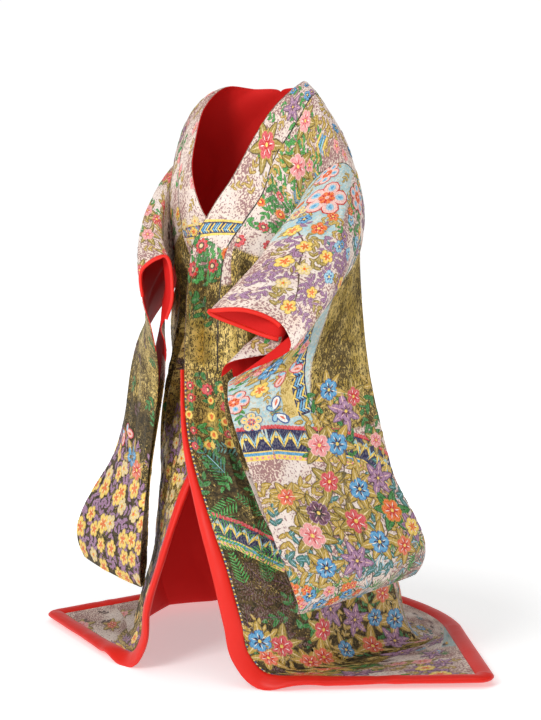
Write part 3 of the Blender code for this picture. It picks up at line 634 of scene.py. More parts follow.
def sleeve_cloth(sleeve, name):
    w = sleeve_rows(sleeve)
    u = spread(np.zeros(len(w)), np.ones(len(w)), SLEEVE_CELLS * FINER)
    return Cloth(name, sleeve, u, np.broadcast_to(w, u.shape))


# ---- meshes ----------------------------------------------------------------------
def linked(name, data):
    made = bpy.data.objects.new(name, data)
    bpy.context.scene.collection.objects.link(made)
    return made


def shell(name, inner, outer, a, b, finishes):
    """A closed wall between two grids, with the places of its cloth kept as its UV map."""
    cells_across, cells_along = inner.shape[0] - 1, inner.shape[1] - 1
    mesh = bmesh.new()
    bmesh.ops.create_grid(mesh, x_segments=cells_across, y_segments=cells_along, size=0.5)
    raised = bmesh.ops.extrude_face_region(mesh, geom=list(mesh.faces), use_keep_orig=True)
    top = {v for v in raised["geom"] if isinstance(v, bmesh.types.BMVert)}
    place_of = {}
    for vertex in mesh.verts:
        i = round((vertex.co.x + 0.5) * cells_across)
        j = round((vertex.co.y + 0.5) * cells_along)
        place_of[vertex] = (i, j)
        vertex.co = (outer if vertex in top else inner)[i, j]
    uv = mesh.loops.layers.uv.new("cloth")
    for face in mesh.faces:
        raised_corners = sum(v in top for v in face.verts)
        face.material_index = 0 if raised_corners == len(face.verts) else 1
        face.smooth = True
        for loop in face.loops:
            i, j = place_of[loop.vert]
            loop[uv].uv = (a[i, j], b[i, j])
    bmesh.ops.recalc_face_normals(mesh, faces=list(mesh.faces))
    if mesh.calc_volume(signed=True) < 0:
        bmesh.ops.reverse_faces(mesh, faces=list(mesh.faces))
    order = np.array([place_of[v] for v in mesh.verts])
    data = bpy.data.meshes.new(name)
    mesh.to_mesh(data)
    mesh.free()
    for finish in finishes:
        data.materials.append(finish)
    data.set_sharp_from_angle(angle=math.radians(SHARP_EDGE))
    return linked(name, data), order


# ---- motifs ----------------------------------------------------------------------
class Motif:
    """Ovals of laid thread round (0, 0), about 1 in size. Each has a layer and a colour's place."""

    def __init__(self):
        self.mesh = bmesh.new()
        self.shade = self.mesh.verts.layers.int.new("shade")

    def oval(self, at, half, turn=0.0, taper=0.0, shade=0, layer=1.0, sides=8):
        """An oval at (x, y) with its half sizes, turned, and thinner at its start by taper."""
        made = bmesh.ops.create_circle(self.mesh, cap_ends=True, cap_tris=True,
                                       segments=sides, radius=1)
        cos, sin = math.cos(turn), math.sin(turn)
        for vertex in made["verts"]:
            x, y = vertex.co.x, vertex.co.y
            middle = abs(x) + abs(y) < 1e-6
            x, y = x * half[0], y * half[1] * (1 + taper * x)
            height = layer + (0.9 if middle else 0.0)
            vertex.co = (at[0] + x * cos - y * sin, at[1] + x * sin + y * cos, height)
            vertex[self.shade] = shade
        return self

    def ring(self, count, radius, half, taper=0.0, shade=0, layer=1.0, start=0.25, sides=8):
        """Ovals all round (0, 0), each pointing outwards."""
        for k in range(count):
            turn = 2 * math.pi * (k + start) / count
            at = (radius * math.cos(turn), radius * math.sin(turn))
            self.oval(at, half, turn, taper, shade, layer, sides)
        return self

    def leaf(self, at, length, turn, shade, layer, wide):
        """A pointed leaf with its vein."""
        middle = (at[0] + math.cos(turn) * length / 2, at[1] + math.sin(turn) * length / 2)
        self.oval(middle, (length * 0.55, length * wide * 1.3), turn, -0.4, 7, layer - 0.4, 8)
        self.oval(middle, (length / 2, length * wide), turn, -0.4, shade, layer + 0.4, 8)
        self.oval(middle, (length * 0.42, length * 0.035), turn, 0, shade + 1, layer + 1.35, 4)
        return self

    def done(self):
        """The motif as arrays of points, triangles and colours' places."""
        self.mesh.verts.index_update()
        points = np.array([v.co[:] for v in self.mesh.verts])
        triangles = np.array([[v.index for v in f.verts] for f in self.mesh.faces])
        shades = np.array([v[self.shade] for v in self.mesh.verts])
        self.mesh.free()
        return points, triangles, shades


# Colours' places in every motif: 0 outline, 1 petals, 2 their hearts, 3 strokes, 4 centre,
# 5 leaves, 6 their veins and 7 their outlines.
def peony():
    motif = Motif()
    for turn, length in ((0.3, 1.75), (1.35, 1.6), (2.5, 1.8), (3.6, 1.6), (4.6, 1.75), (5.5, 1.5)):
        motif.leaf((0.2 * math.cos(turn), 0.2 * math.sin(turn)), length, turn, 5, 0.6, 0.21)
    motif.ring(6, 0.5, (0.55, 0.42), 0.3, 0, 1.8)
    motif.ring(6, 0.5, (0.48, 0.35), 0.3, 1, 2.7)
    motif.ring(6, 0.33, (0.26, 0.13), 0.1, 2, 3.7, sides=6)
    motif.ring(6, 0.52, (0.26, 0.045), 0, 3, 4.4, start=0.42, sides=4)
    return motif.oval((0, 0), (0.16, 0.16), shade=4, layer=4.6).done()


def blossom():
    motif = Motif().ring(5, 0.54, (0.48, 0.42), 0.25, 0, 1.2)
    motif.ring(5, 0.54, (0.41, 0.35), 0.25, 1, 2.1)
    motif.ring(5, 0.32, (0.24, 0.13), 0.1, 2, 3.1, sides=6)
    motif.ring(5, 0.40, (0.18, 0.03), 0, 3, 3.9, start=0.75, sides=4)
    return motif.oval((0, 0), (0.2, 0.2), shade=4, layer=4.0).done()


def round_flower():
    motif = Motif().ring(8, 0.66, (0.32, 0.27), 0.2, 0, 1.0, sides=6)
    motif.oval((0, 0), (0.78, 0.78), shade=1, layer=1.9, sides=12)
    motif.oval((0, 0), (0.46, 0.46), shade=2, layer=2.9, sides=10)
    return motif.oval((0, 0), (0.26, 0.26), shade=4, layer=3.8).done()


def medallion():
    """A big flower of rounded lobes, one inside another."""
    motif = Motif().ring(5, 0.58, (0.46, 0.43), 0.2, 0, 1.0, sides=10)
    motif.ring(5, 0.58, (0.40, 0.37), 0.2, 1, 1.9, sides=10)
    motif.ring(5, 0.62, (0.22, 0.19), 0.1, 3, 2.9, sides=8)
    motif.ring(5, 0.64, (0.13, 0.08), 0, 2, 3.8, sides=6)
    motif.ring(6, 0.22, (0.19, 0.14), 0.1, 4, 3.0, sides=6)
    motif.ring(6, 0.24, (0.12, 0.06), 0, 0, 3.9, start=0.75, sides=6)
    return motif.oval((0, 0), (0.1, 0.1), shade=1, layer=4.8).done()


def sprig():
    """A stem with leaves in pairs."""
    motif = Motif().oval((0, 0), (1.0, 0.035), shade=6, layer=0.7, sides=6)
    for along, turn, length in ((-0.80, 0.85, 0.80), (-0.62, -0.9, 0.75), (-0.05, 0.75, 0.90),
                                (0.12, -0.75, 0.80), (0.62, 0.1, 0.75)):
        motif.leaf((along, 0), length, turn, 5, 1.2, 0.21)
    return motif.done()


def fern():
    motif = Motif().oval((0, 0), (1.0, 0.02), shade=6, layer=1.8, sides=6)
    for k in range(9):
        along = -0.85 + 0.19 * k
        length = 0.62 - 0.045 * k
        for turn in (0.85, -0.85):
            middle = (along + math.cos(turn) * length / 2, math.sin(turn) * length / 2)
            motif.oval(middle, (length / 2, 0.042), turn, -0.2, 5, 0.8 + 0.06 * k, 6)
    return motif.done()


def grass():
    motif = Motif()
    for k, (turn, length) in enumerate(((-0.9, 0.9), (-0.55, 1.3), (-0.25, 1.1), (0.02, 1.6),
                                        (0.3, 1.2), (0.62, 1.4), (1.0, 0.95))):
        middle = (math.cos(turn) * length / 2 - 0.5, math.sin(turn) * length / 2)
        motif.oval(middle, (length / 2, 0.05), turn, -0.3, 5 + k % 2, 0.8 + 0.1 * k, 6)
    return motif.done()


def butterfly():
    motif = Motif()
    for side in (1, -1):
        motif.oval((0.12, 0.55 * side), (0.52, 0.30), side * 0.95, 0.3, 0, 1.4, 10)
        motif.oval((0.12, 0.55 * side), (0.44, 0.22), side * 0.95, 0.3, 1, 2.3, 10)
        motif.oval((0.16, 0.58 * side), (0.26, 0.08), side * 0.95, 0.1, 2, 3.2, 6)
        motif.oval((-0.30, 0.34 * side), (0.32, 0.20), side * 2.2, 0.2, 0, 1.2, 8)
        motif.oval((-0.30, 0.34 * side), (0.25, 0.13), side * 2.2, 0.2, 3, 2.1, 8)
    return motif.oval((-0.05, 0), (0.42, 0.06), shade=4, layer=3.3, sides=6).done()


def chevron():
    """One unit of a band of triangles: 1 long and 1.3 wide, its point to the right."""
    motif = Motif()
    for side in (1, -1):
        motif.oval((0.0, 0.25 * side), (0.66, 0.10), side * 0.37, 0, 1, 1.8, 4)
        motif.oval((0.02, 0.40 * side), (0.60, 0.05), side * 0.37, 0, 2, 1.4, 4)
    motif.oval((-0.28, 0), (0.26, 0.05), 0, 0, 2, 2.0, 6)
    motif.oval((-0.12, 0), (0.10, 0.10), 0.0, 0, 3, 2.4, 6)
    motif.leaf((-0.42, 0), 0.3, 0.6, 2, 2.1, 0.2)
    return motif.leaf((-0.42, 0), 0.3, -0.6, 2, 2.1, 0.2).done()


def wave():
    """One unit of a band of curling stripes, 1 long and 1 wide."""
    motif = Motif()
    for k, shade in enumerate((1, 2, 3, 1)):
        motif.oval((-0.36 + 0.24 * k, 0.05), (0.46, 0.075), 1.1, 0.25, shade, 1.4 + 0.3 * k, 8)
        motif.oval((-0.30 + 0.24 * k, -0.32), (0.24, 0.06), 2.3, 0.25, shade, 1.5 + 0.3 * k, 6)
    return motif.oval((0.30, 0.34), (0.16, 0.10), 0.5, 0, 2, 2.9, 6).done()


def dot():
    return Motif().oval((0, 0), (1.0, 1.0), shade=1, layer=1.6, sides=6).done()


MOTIFS = {
    "peony": peony(), "blossom": blossom(), "round_flower": round_flower(),
    "medallion": medallion(), "sprig": sprig(), "fern": fern(), "grass": grass(),
    "butterfly": butterfly(), "chevron": chevron(), "wave": wave(), "dot": dot(),
}

THREADS = {
    "white": (0.84, 0.80, 0.74), "cream": (0.74, 0.58, 0.30), "yellow": (0.84, 0.59, 0.11),
    "straw": (0.62, 0.45, 0.14), "gold": (0.47, 0.30, 0.04), "olive": (0.33, 0.23, 0.03),
    "brown": (0.085, 0.035, 0.02), "black": (0.015, 0.012, 0.012), "orange": (0.76, 0.15, 0.02),
    "coral": (0.74, 0.15, 0.07), "red": (0.58, 0.012, 0.012), "rose": (0.62, 0.07, 0.09),
    "pink": (0.80, 0.30, 0.30), "blush": (0.80, 0.50, 0.45), "mauve": (0.35, 0.18, 0.32),
    "plum": (0.12, 0.035, 0.08), "sky": (0.08, 0.32, 0.56), "pale_blue": (0.30, 0.54, 0.66),
    "blue": (0.02, 0.09, 0.30), "navy": (0.008, 0.014, 0.075), "teal": (0.035, 0.17, 0.15),
    "green": (0.02, 0.20, 0.035), "leaf_green": (0.05, 0.33, 0.06), "moss": (0.025, 0.06, 0.015),
}


LEAF_EDGE = 0.3           # a leaf's outline is this much of its own colour


def dyed(names):
    """The eight colours of one motif, from seven names and the outline of its leaves."""
    colours = [THREADS[name] for name in names.split()]
    return np.array([*colours, tuple(LEAF_EDGE * part for part in colours[5])])


PALETTES = {
    "rose": dyed("gold rose red white yellow olive cream"),
    "coral": dyed("gold coral red white yellow gold cream"),
    "pink": dyed("blush pink rose white yellow olive cream"),
    "sky": dyed("blue sky navy white yellow gold cream"),
    "pale_blue": dyed("sky pale_blue blue white yellow olive straw"),
    "mauve": dyed("plum mauve plum blush yellow mauve blush"),
    "plum": dyed("mauve plum black blush yellow olive cream"),
    "yellow": dyed("gold yellow orange white orange mauve plum"),
    "cream": dyed("straw cream yellow white orange mauve plum"),
    "red": dyed("red rose brown cream cream moss green"),
    "orange": dyed("gold orange red white yellow green moss"),
    "medallion": dyed("red blush sky pale_blue orange gold cream"),
    "medallion_blue": dyed("blue cream sky yellow coral gold cream"),
    "green": dyed("green leaf_green moss white yellow leaf_green moss"),
    "dark_green": dyed("moss green moss moss yellow green moss"),
    "teal": dyed("teal teal moss white yellow teal pale_blue"),
    "gold": dyed("gold yellow olive white orange gold cream"),
    "brown": dyed("brown brown black gold gold brown plum"),
    "mauve_leaf": dyed("plum mauve plum blush yellow mauve plum"),
    "pink_wing": dyed("rose blush coral pale_blue gold gold cream"),
    "blue_wing": dyed("blue white coral pale_blue teal gold cream"),
    "band": dyed("navy yellow pale_blue yellow yellow gold cream"),
    "band_wave": dyed("navy yellow sky pale_blue yellow gold cream"),
    "navy_stitch": dyed("navy blue navy white yellow gold cream"),
}


RIBBON_STEP = 0.007       # about the length of a ribbon's cells
RIBBON_CELL = 0.008       # and about their width
LEAST_AREA = 2e-8         # twice the area of the smallest triangle kept


def walked(path):
    """The length of a path of (a, b) places, and a function to its place at any length."""
    path = np.array(path)
    steps = np.concatenate([[0], np.cumsum(np.hypot(*np.diff(path, axis=0).T))])

    def at(along):
        return np.stack([np.interp(along, steps, path[:, k]) for k in (0, 1)], axis=1)

    return steps[-1], at


class Embroidery:
    """The threads laid on one piece of cloth."""

    def __init__(self, cloth):
        self.cloth = cloth
        self.points, self.triangles, self.colours = [], [], []
        self.count = 0

    def keep(self, points, triangles, colours):
        """Adds triangles, without any that the cloth's edges have squeezed to nothing."""
        corners = points[triangles]
        size = np.linalg.norm(
            np.cross(corners[:, 1] - corners[:, 0], corners[:, 2] - corners[:, 0]), axis=1
        )
        triangles = triangles[size > LEAST_AREA]
        used, triangles = np.unique(triangles, return_inverse=True)
        self.points.append(points[used])
        self.triangles.append(triangles.reshape(-1, 3) + self.count)
        self.colours.append(colours[used])
        self.count += len(used)

    def lay(self, motif, palettes, a, b, turn, size, lift=None):
        """Lays a motif at each place. All the rest are lists of the same length."""
        points, triangles, shades = MOTIFS[motif]
        a, b, turn, size = (np.asarray(x, float)[:, None] for x in (a, b, turn, size))
        if len(a) == 0:
            return
        x, y = points[None, :, 0] * size, points[None, :, 1] * size
        at_a = a + x * np.cos(turn) - y * np.sin(turn)
        at_b = b + x * np.sin(turn) + y * np.cos(turn)
        height = np.broadcast_to(points[None, :, 2] * THREAD, at_a.shape)
        if lift is not None:
            height = height + np.asarray(lift)[:, None]
        placed_at = self.cloth.place(at_a.ravel(), at_b.ravel(), height.ravel())
        first = np.arange(len(a))[:, None, None] * len(points)
        faces = (triangles[None] + first).reshape(-1, 3)
        colours = np.concatenate([PALETTES[name][shades] for name in palettes])
        self.keep(placed_at, faces[:, ::self.cloth.handed], colours)

    def ribbon(self, path, width, colour, layer):
        """A flat stripe along a path of (a, b) places."""
        length, at = walked(path)
        count = max(2, int(length / RIBBON_STEP))
        line = at(np.linspace(0, length, count + 1))
        way = unit(np.gradient(line, axis=0))
        aside = np.stack([-way[:, 1], way[:, 0]], axis=1) * width / 2
        cells = max(1, int(width / RIBBON_CELL))
        share = np.linspace(-1, 1, cells + 1)[:, None, None]
        grid = (line[None] + aside[None] * share).reshape(-1, 2)
        height = np.full(len(grid), layer * THREAD)
        points = self.cloth.place(grid[:, 0], grid[:, 1], height)
        i, j = np.meshgrid(np.arange(cells), np.arange(count), indexing="ij")
        corner = (i * (count + 1) + j).ravel()
        after = corner + count + 1
        first = np.stack([corner, corner + 1, after + 1], axis=1)
        second = np.stack([corner, after + 1, after], axis=1)
        faces = np.concatenate([first, second])
        colours = np.broadcast_to(np.array(THREADS[colour]), (len(grid), 3))
        self.keep(points, faces[:, ::-self.cloth.handed], colours)

    def row(self, motif, palette, path, spacing, size, turn=0.0):
        """A motif repeated along a path of (a, b) places."""
        length, at = walked(path)
        along = np.arange(spacing / 2, length, spacing)
        a, b = at(along).T
        way = at(along + 1e-3) - at(along - 1e-3)
        heading = np.arctan2(way[:, 1], way[:, 0])
        self.lay(motif, [palette] * len(a), a, b, heading + turn, np.full(len(a), size))

    def made(self):
        """All the threads as one mesh."""
        name = self.cloth.name + "_embroidery"
        points = np.concatenate(self.points)
        triangles = np.concatenate(self.triangles)
        colours = np.concatenate(self.colours)
        data = bpy.data.meshes.new(name)
        data.from_pydata(points.tolist(), [], triangles.tolist())
        layer = data.attributes.new("thread", "FLOAT_COLOR", "POINT")
        rgba = np.concatenate([colours, np.ones((len(colours), 1))], axis=1)
        layer.data.foreach_set("color", rgba.ravel())
        data.materials.append(THREADWORK)
        data.shade_smooth()
        made = linked(name, data)
        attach(made, "root")
        return made


# ---- finishes --------------------------------------------------------------------
class Value:
    """A socket of a finish's nodes, which adds and multiplies as a number does."""

    def __init__(self, tree, socket):
        self.tree, self.socket = tree, socket

    def maths(self, operation, *others, clamp=False):
        node = self.tree.nodes.new("ShaderNodeMath")
        node.operation = operation
        node.use_clamp = clamp
        for socket, value in zip(node.inputs, others):
            if isinstance(value, Value):
                self.tree.links.new(value.socket, socket)
            else:
                socket.default_value = value
        return Value(self.tree, node.outputs[0])

    def __add__(self, other):
        return self.maths("ADD", self, other)

    def __sub__(self, other):
        return self.maths("SUBTRACT", self, other)

    def __mul__(self, other):
        return self.maths("MULTIPLY", self, other)

    def __rsub__(self, other):
        return self.maths("SUBTRACT", other, self)

    __radd__, __rmul__ = __add__, __mul__

    def ramp(self, low, high):
        """0 at low, 1 at high."""
        scale = 1 / (high - low)
        return self.maths("MULTIPLY_ADD", self, scale, -low * scale, clamp=True)


class Finish:
    """A material and the nodes behind it."""

    def __init__(self, name, roughness, metallic=0.0, colour=None, **constants):
        self.material = bpy.data.materials.new(name)
        self.material.use_nodes = True
        self.tree = self.material.node_tree
        self.shader = self.tree.nodes["Principled BSDF"]
        self.shader.inputs["Roughness"].default_value = roughness
        self.shader.inputs["Metallic"].default_value = metallic
        if colour:
            self.shader.inputs["Base Color"].default_value = (*colour, 1)
            self.material.diffuse_color = (*colour, 1)
        for key, value in constants.items():
            self.shader.inputs[key.replace("_", " ")].default_value = value

    def node(self, kind, settings, inputs, output=0):
        """A node with its settings, then the values or links of its inputs."""
        made = self.tree.nodes.new(kind)
        for key, value in settings.items():
            setattr(made, key, value)
        for key, value in inputs.items():
            if isinstance(value, Value):
                self.tree.links.new(value.socket, made.inputs[key])
            else:
                made.inputs[key].default_value = value
        return Value(self.tree, made.outputs[output])

    def noise(self, place, stretch, detail=2.0, distortion=0.0):
        """Noise whose grain is 1 / stretch metres each way."""
        scaled = self.node("ShaderNodeVectorMath", {"operation": "MULTIPLY"},
                           {0: place, 1: stretch})
        return self.node("ShaderNodeTexNoise", {},
                         {"Vector": scaled, "Scale": 1.0, "Detail": detail,
                          "Distortion": distortion})

    def mix(self, factor, first, second):
        first = (*first, 1) if isinstance(first, tuple) else first
        second = (*second, 1) if isinstance(second, tuple) else second
        return self.node("ShaderNodeMix", {"data_type": "RGBA"},
                         {0: factor, 6: first, 7: second}, 2)

    def attribute(self, name):
        return self.node("ShaderNodeAttribute", {"attribute_name": name}, {}, "Fac")

    def feed(self, name, value):
        self.tree.links.new(value.socket, self.shader.inputs[name])

    def bump(self, height, distance, strength=1.0):
        self.feed("Normal", self.node("ShaderNodeBump", {},
                                      {"Strength": strength, "Distance": distance,
                                       "Height": height}))


def woven_ground():
    """The brocade's grounds: pale with plum flecks, gold with black strokes, and light blue;
    painted shade, from a mask, darkens the gold further.
    """
    finish = Finish("brocade", 0.6, Specular_IOR_Level=0.15)
    place = finish.node("ShaderNodeUVMap", {"uv_map": "cloth"}, {}, "UV")
    cloud = finish.noise(place, (11, 8, 0), 2.5)
    veil = finish.noise(place, (27, 31, 0), 2.0)
    fleck = finish.noise(place, (240, 170, 0), 1.0, 0.4)
    stroke = finish.noise(place, (330, 120, 0), 2.0, 1.2)
    leafy = finish.noise(place, (70, 95, 0), 3.0, 1.5)

    cover = cloud.ramp(0.38, 0.66)
    flecked = (fleck + 0.20 * cover).ramp(0.60, 0.64)
    pale = finish.mix(veil.ramp(0.35, 0.65), (0.71, 0.59, 0.52), (0.79, 0.69, 0.62))
    warm = finish.mix((0.5 * cover).ramp(0, 1), pale, (0.70, 0.52, 0.36))
    pale = finish.mix(0.85 * flecked, warm, (0.26, 0.11, 0.12))

    # Painted shade: this mask deepens the gold ground's black strokes and dark patches where the
    # cloth lies in shade; the strokes and patches themselves are the weave's own.
    dusk = finish.attribute("dusk")
    shade = dusk.ramp(0.1, 0.9)
    dark = (stroke + 0.19 * cloud.ramp(0.35, 0.68) + 0.13 * shade).ramp(0.53, 0.59)
    gold = finish.mix(veil.ramp(0.4, 0.7), (0.52, 0.36, 0.085), (0.82, 0.61, 0.22))
    patches = (leafy + 0.10 * shade).ramp(0.55, 0.66)
    gold = finish.mix(0.9 * dark, gold, (0.035, 0.022, 0.014))
    gold = finish.mix(patches * (0.35 + 0.45 * shade), gold, (0.02, 0.018, 0.012))

    sky = finish.mix(leafy.ramp(0.42, 0.62), (0.34, 0.52, 0.56), (0.58, 0.64, 0.60))
    sky = finish.mix(0.6 * (fleck + 0.06).ramp(0.62, 0.68), sky, (0.62, 0.42, 0.20))

    edge = 0.5 * (cloud - 0.5)
    is_gold = (finish.attribute("gold") + edge).ramp(0.42, 0.58)
    is_sky = (finish.attribute("sky") + edge).ramp(0.42, 0.58)
    colour = finish.mix(is_gold, pale, gold)
    colour = finish.mix(is_sky, colour, sky)
    finish.feed("Base Color", colour)
    bright = is_gold * (1.0 - dark) * (1.0 - is_sky)
    finish.feed("Metallic", 0.55 * bright)
    finish.feed("Roughness", 0.62 - 0.22 * bright)
    weave = finish.node("ShaderNodeTexWave", {"bands_direction": "DIAGONAL"},
                        {"Vector": place, "Scale": 260.0, "Distortion": 0.6})
    finish.bump(stroke + 0.6 * fleck + 0.25 * weave, 0.0006, 0.7)
    return finish.material


def laid_thread():
    finish = Finish("laid_thread", 0.5, Specular_IOR_Level=0.2)
    colour = finish.node("ShaderNodeAttribute", {"attribute_name": "thread"}, {}, "Color")
    place = finish.node("ShaderNodeTexCoord", {}, {}, "Object")
    strands = finish.noise(place, (500, 500, 160), 1.0)
    # Painted highlight on the threads' raised strands, and painted shade in the grooves between
    # them, both from the same noise as the bump.
    strand_highlight = finish.mix(0.16 * strands.ramp(0.45, 0.65), colour, (0.9, 0.82, 0.68))
    strand_groove_shade = finish.mix(0.30 * (1.0 - strands).ramp(0.52, 0.66), strand_highlight, (0.10, 0.05, 0.03))
    finish.feed("Base Color", strand_groove_shade)
    finish.bump(strands, 0.0005, 0.6)
    return finish.material


def silk(name, colour, roughness, shine=0.3):
    finish = Finish(name, roughness, colour=colour, Specular_IOR_Level=shine)
    place = finish.node("ShaderNodeTexCoord", {}, {}, "Object")
    grain = finish.noise(place, (600, 600, 600), 1.0)
    slub = finish.noise(place, (60, 60, 25), 2.0)
    finish.bump(0.3 * grain + slub, 0.0011, 0.5)
    return finish.material


BROCADE = woven_ground()
THREADWORK = laid_thread()
RED_SILK = silk("red_silk", (0.74, 0.017, 0.008), 0.42)
LINING = silk("lining", (0.60, 0.013, 0.011), 0.65, 0.12)


# ---- the robe ----------------------------------------------------------------------
# Patches of ground on each piece: their kind, and the places that they cover, first along
# the cloth and then across it where they don't go all the way. One kind is painted shade, not a
# weave: it darkens the gold ground where the cloth lies in shade.
Ground = namedtuple("Ground", "kind b to_b a to_a", defaults=(-1, 1))
GROUND_BORDER = 0.05
GROUNDS = {
    "body_left": (("gold", -1.52, -0.42), ("dusk", -1.48, -0.86), ("gold", 0.62, 1.16),
                  ("sky", 1.16, 1.40, -1, 0.26), ("sky", -1.76, -1.66, 0.10, 0.30)),
    "body_right": (("gold", -1.46, -0.36), ("dusk", -1.40, -0.95, -1, 0.16), ("gold", 0.55, 1.10),
                   ("sky", 1.34, 1.56, 0.14, 1)),
    "okumi_left": (("gold", -1.52, -0.50), ("dusk", -1.46, -0.86)),
    "okumi_right": (("gold", -1.50, -0.56),),
    "sleeve_left": (("sky", 0.88, 1.075, -1, 0.235), ("sky", 1.30, 1.60, 0.17, 1),
                    ("gold", 1.24, 1.60, -1, 0.17), ("gold", 0.36, 0.66)),
    "sleeve_right": (("gold", 1.18, 2.1), ("dusk", 1.50, 2.1), ("gold", -0.1, 0.55)),
    "collar_left": (("gold", -0.80, -0.48),),
    "collar_right": (("gold", -0.80, -0.46),),
}


def ground_mask(cloth, kind):
    """How far a kind of ground covers each place of a piece, soft at its borders."""
    mask = np.zeros_like(cloth.a)
    for g in (Ground(*row) for row in GROUNDS[cloth.name]):
        if g.kind == kind:
            aside = np.minimum(cloth.a - g.a, g.to_a - cloth.a)
            along = np.minimum(cloth.b - g.b, g.to_b - cloth.b)
            inside = np.minimum(aside, along) / GROUND_BORDER + 0.5
            mask = np.maximum(mask, np.clip(inside, 0, 1))
    return mask


TURNED_IN = 0.035         # the brocade's depth on the inside of a hanging sleeve's edge
SLEEVE_TOP = (0.62, 1.30)    # round the top, by the armhole, none is turned in


def turn_in(made, cloth):
    """The brocade is turned in along the hanging sleeve's free edge."""
    uv = made.data.uv_layers["cloth"].data
    for face in made.data.polygons:
        a, b = np.mean([uv[k].uv for k in face.loop_indices], axis=0)
        by_edge = a > np.interp(b, cloth.rows, cloth.width) - TURNED_IN
        if by_edge and not SLEEVE_TOP[0] < b < SLEEVE_TOP[1]:
            face.material_index = 0


def joined(grids):
    """One piece's grid, from one cloth or from two that meet at the centre back."""
    if len(grids) == 1:
        return grids[0]
    return np.concatenate([grids[0], grids[1][:, -2::-1]], axis=1)


def dressed(name, cloths, node):
    """One piece of the robe."""
    faces = (joined([getattr(c, key) for c in cloths]) for key in ("inner", "outer", "a", "b"))
    made, order = shell(name, *faces, (BROCADE, LINING))
    if name.startswith("sleeve"):
        turn_in(made, cloths[0])
    # The masks of gold and light blue ground, and of painted shade.
    for kind in ("gold", "sky", "dusk"):
        grid = joined([ground_mask(c, kind) for c in cloths])
        layer = made.data.attributes.new(kind, "FLOAT", "POINT")
        layer.data.foreach_set("value", grid[order[:, 0], order[:, 1]])
    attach(made, "root")
    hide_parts(node)
    length = sum(float(c.rows[-1] - c.rows[0]) for c in cloths)
    return made


# ---- padded rolls --------------------------------------------------------------------
ROLL_AT_TOP = {1: 0.20, -1: 0.35}    # how much of the roll shows at its top, left and right
ROLL_GROWS = 0.62                    # all of it shows this far down
CUFF_ROLL_SHOWN = 0.72
ROLL_FINER = 3                       # cells here for each of the solid roll's
PUCKER = 0.10                        # of the roll's thickness
SEEDS = {"hem": {1: 11, -1: 12}, "cuff": {1: 21, -1: 22}}


def puckers(count, seed, most):
    """Small uneven gathers along a roll."""
    rng = np.random.default_rng(seed)
    places = np.arange(count)
    total = np.zeros(count)
    for start in rng.uniform(0, count, count // 5):
        reach = rng.uniform(1.0, 3.5)
        total += rng.uniform(-most, most) * np.exp(-(((places - start) / reach) ** 2))
    return total


def roll(name, node, edge, out, up, width, thick, seed, shown=1.0):
    """A padded roll along an edge: out leads away from the cloth, up across its wall.

    shown is how much of its width shows past the brocade at each place.
    """
    share = np.linspace(0, 1, ROLL_CELLS * ROLL_FINER + 1)
    round_share = np.clip(1 - (2 * share - 1) ** 2, 0, 1)
    half_thick = np.maximum(thick / 2 * np.sqrt(round_share), CLOTH / 2)
    pucker = puckers(len(edge), seed, thick * PUCKER)
    middle = edge + up * (INNER_FACE + OUTER_FACE) / 2
    reach = width * share[:, None] * np.broadcast_to(shown, len(edge))[None]
    line = middle[None] + out[None] * (SEAM_GAP / 2 + reach)[..., None]
    swell = half_thick[:, None] + np.sqrt(round_share)[:, None] * pucker[None] * 0.5
    rise = up[None] * np.maximum(swell, CLOTH / 2)[..., None]
    a = np.broadcast_to((width * share)[:, None], line.shape[:2])
    b = np.broadcast_to(np.arange(len(edge)) * 0.01, line.shape[:2])
    made, _ = shell(name, line - rise, line + rise, a, b, (RED_SILK, RED_SILK))
    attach(made, "root")
    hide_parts(node)
    return made


def hem_roll(half, name, node):
    """The red roll down one front edge, round the corner and along the hem."""
    edge_v = finer(FRONT_SKIRT)[::-1]
    zero = np.zeros_like(edge_v)
    edge = half.at(zero, edge_v)
    up = half.directions(zero, edge_v)
    out = squared(half.at(zero - OUT_STEP, edge_v) - edge, edge, up)

    strip_seam = half.okumi_u(np.array([-HEM]))
    strip_u = spread(np.zeros(1), strip_seam, STRIP_CELLS * FINER)[:, 0]
    panel_u = spread(strip_seam, np.ones(1), PANEL_CELLS * FINER)[:, 0]
    back_u = np.linspace(1, 0, PANEL_CELLS * FINER + 1)
    runs_of_hem = []
    for u, v in ((np.concatenate([strip_u, panel_u[1:]]), -HEM), (back_u, HEM)):
        v = np.full(len(u), v)
        line = half.at(u, v)
        rise = half.directions(u, v)
        lead = squared(line - half.at(u, v * (1 - OUT_STEP)), line, rise)
        runs_of_hem.append((line + lead * SEAM_GAP / 2, rise, lead))
    (front, front_up, front_out), (back, back_up, back_out) = runs_of_hem
    back[-1, 0] += half.side * SEAM_GAP / 2
    back_out[-1] = (0, 1, 0)
    seam_out = unit(front_out[-1] + back_out[0])[None]
    hem = np.concatenate([front, back[1:]])
    hem_up = np.concatenate([front_up, back_up[1:]])
    hem_out = np.concatenate([front_out[:-1], seam_out, back_out[1:]])

    turn = np.linspace(0, 1, CORNER_STEPS * ROLL_FINER + 1)[1:-1, None]
    fan = unit(out[-1] * (1 - turn) + hem_out[0] * turn)
    corner = np.repeat(edge[-1:], len(fan), axis=0)
    corner_up = np.repeat(up[-1:], len(fan), axis=0)
    narrow = ROLL_AT_TOP[half.side]
    shown = narrow + (1 - narrow) * smooth_step((-edge_v - COLLAR_END) / ROLL_GROWS)
    return roll(
        name, node,
        np.concatenate([edge, corner, hem]),
        np.concatenate([out, fan, hem_out]),
        np.concatenate([up, corner_up, hem_up]),
        ROLL_WIDTH, ROLL_THICK, SEEDS["hem"][half.side],
        np.concatenate([shown, np.ones(len(fan) + len(hem))]),
    )


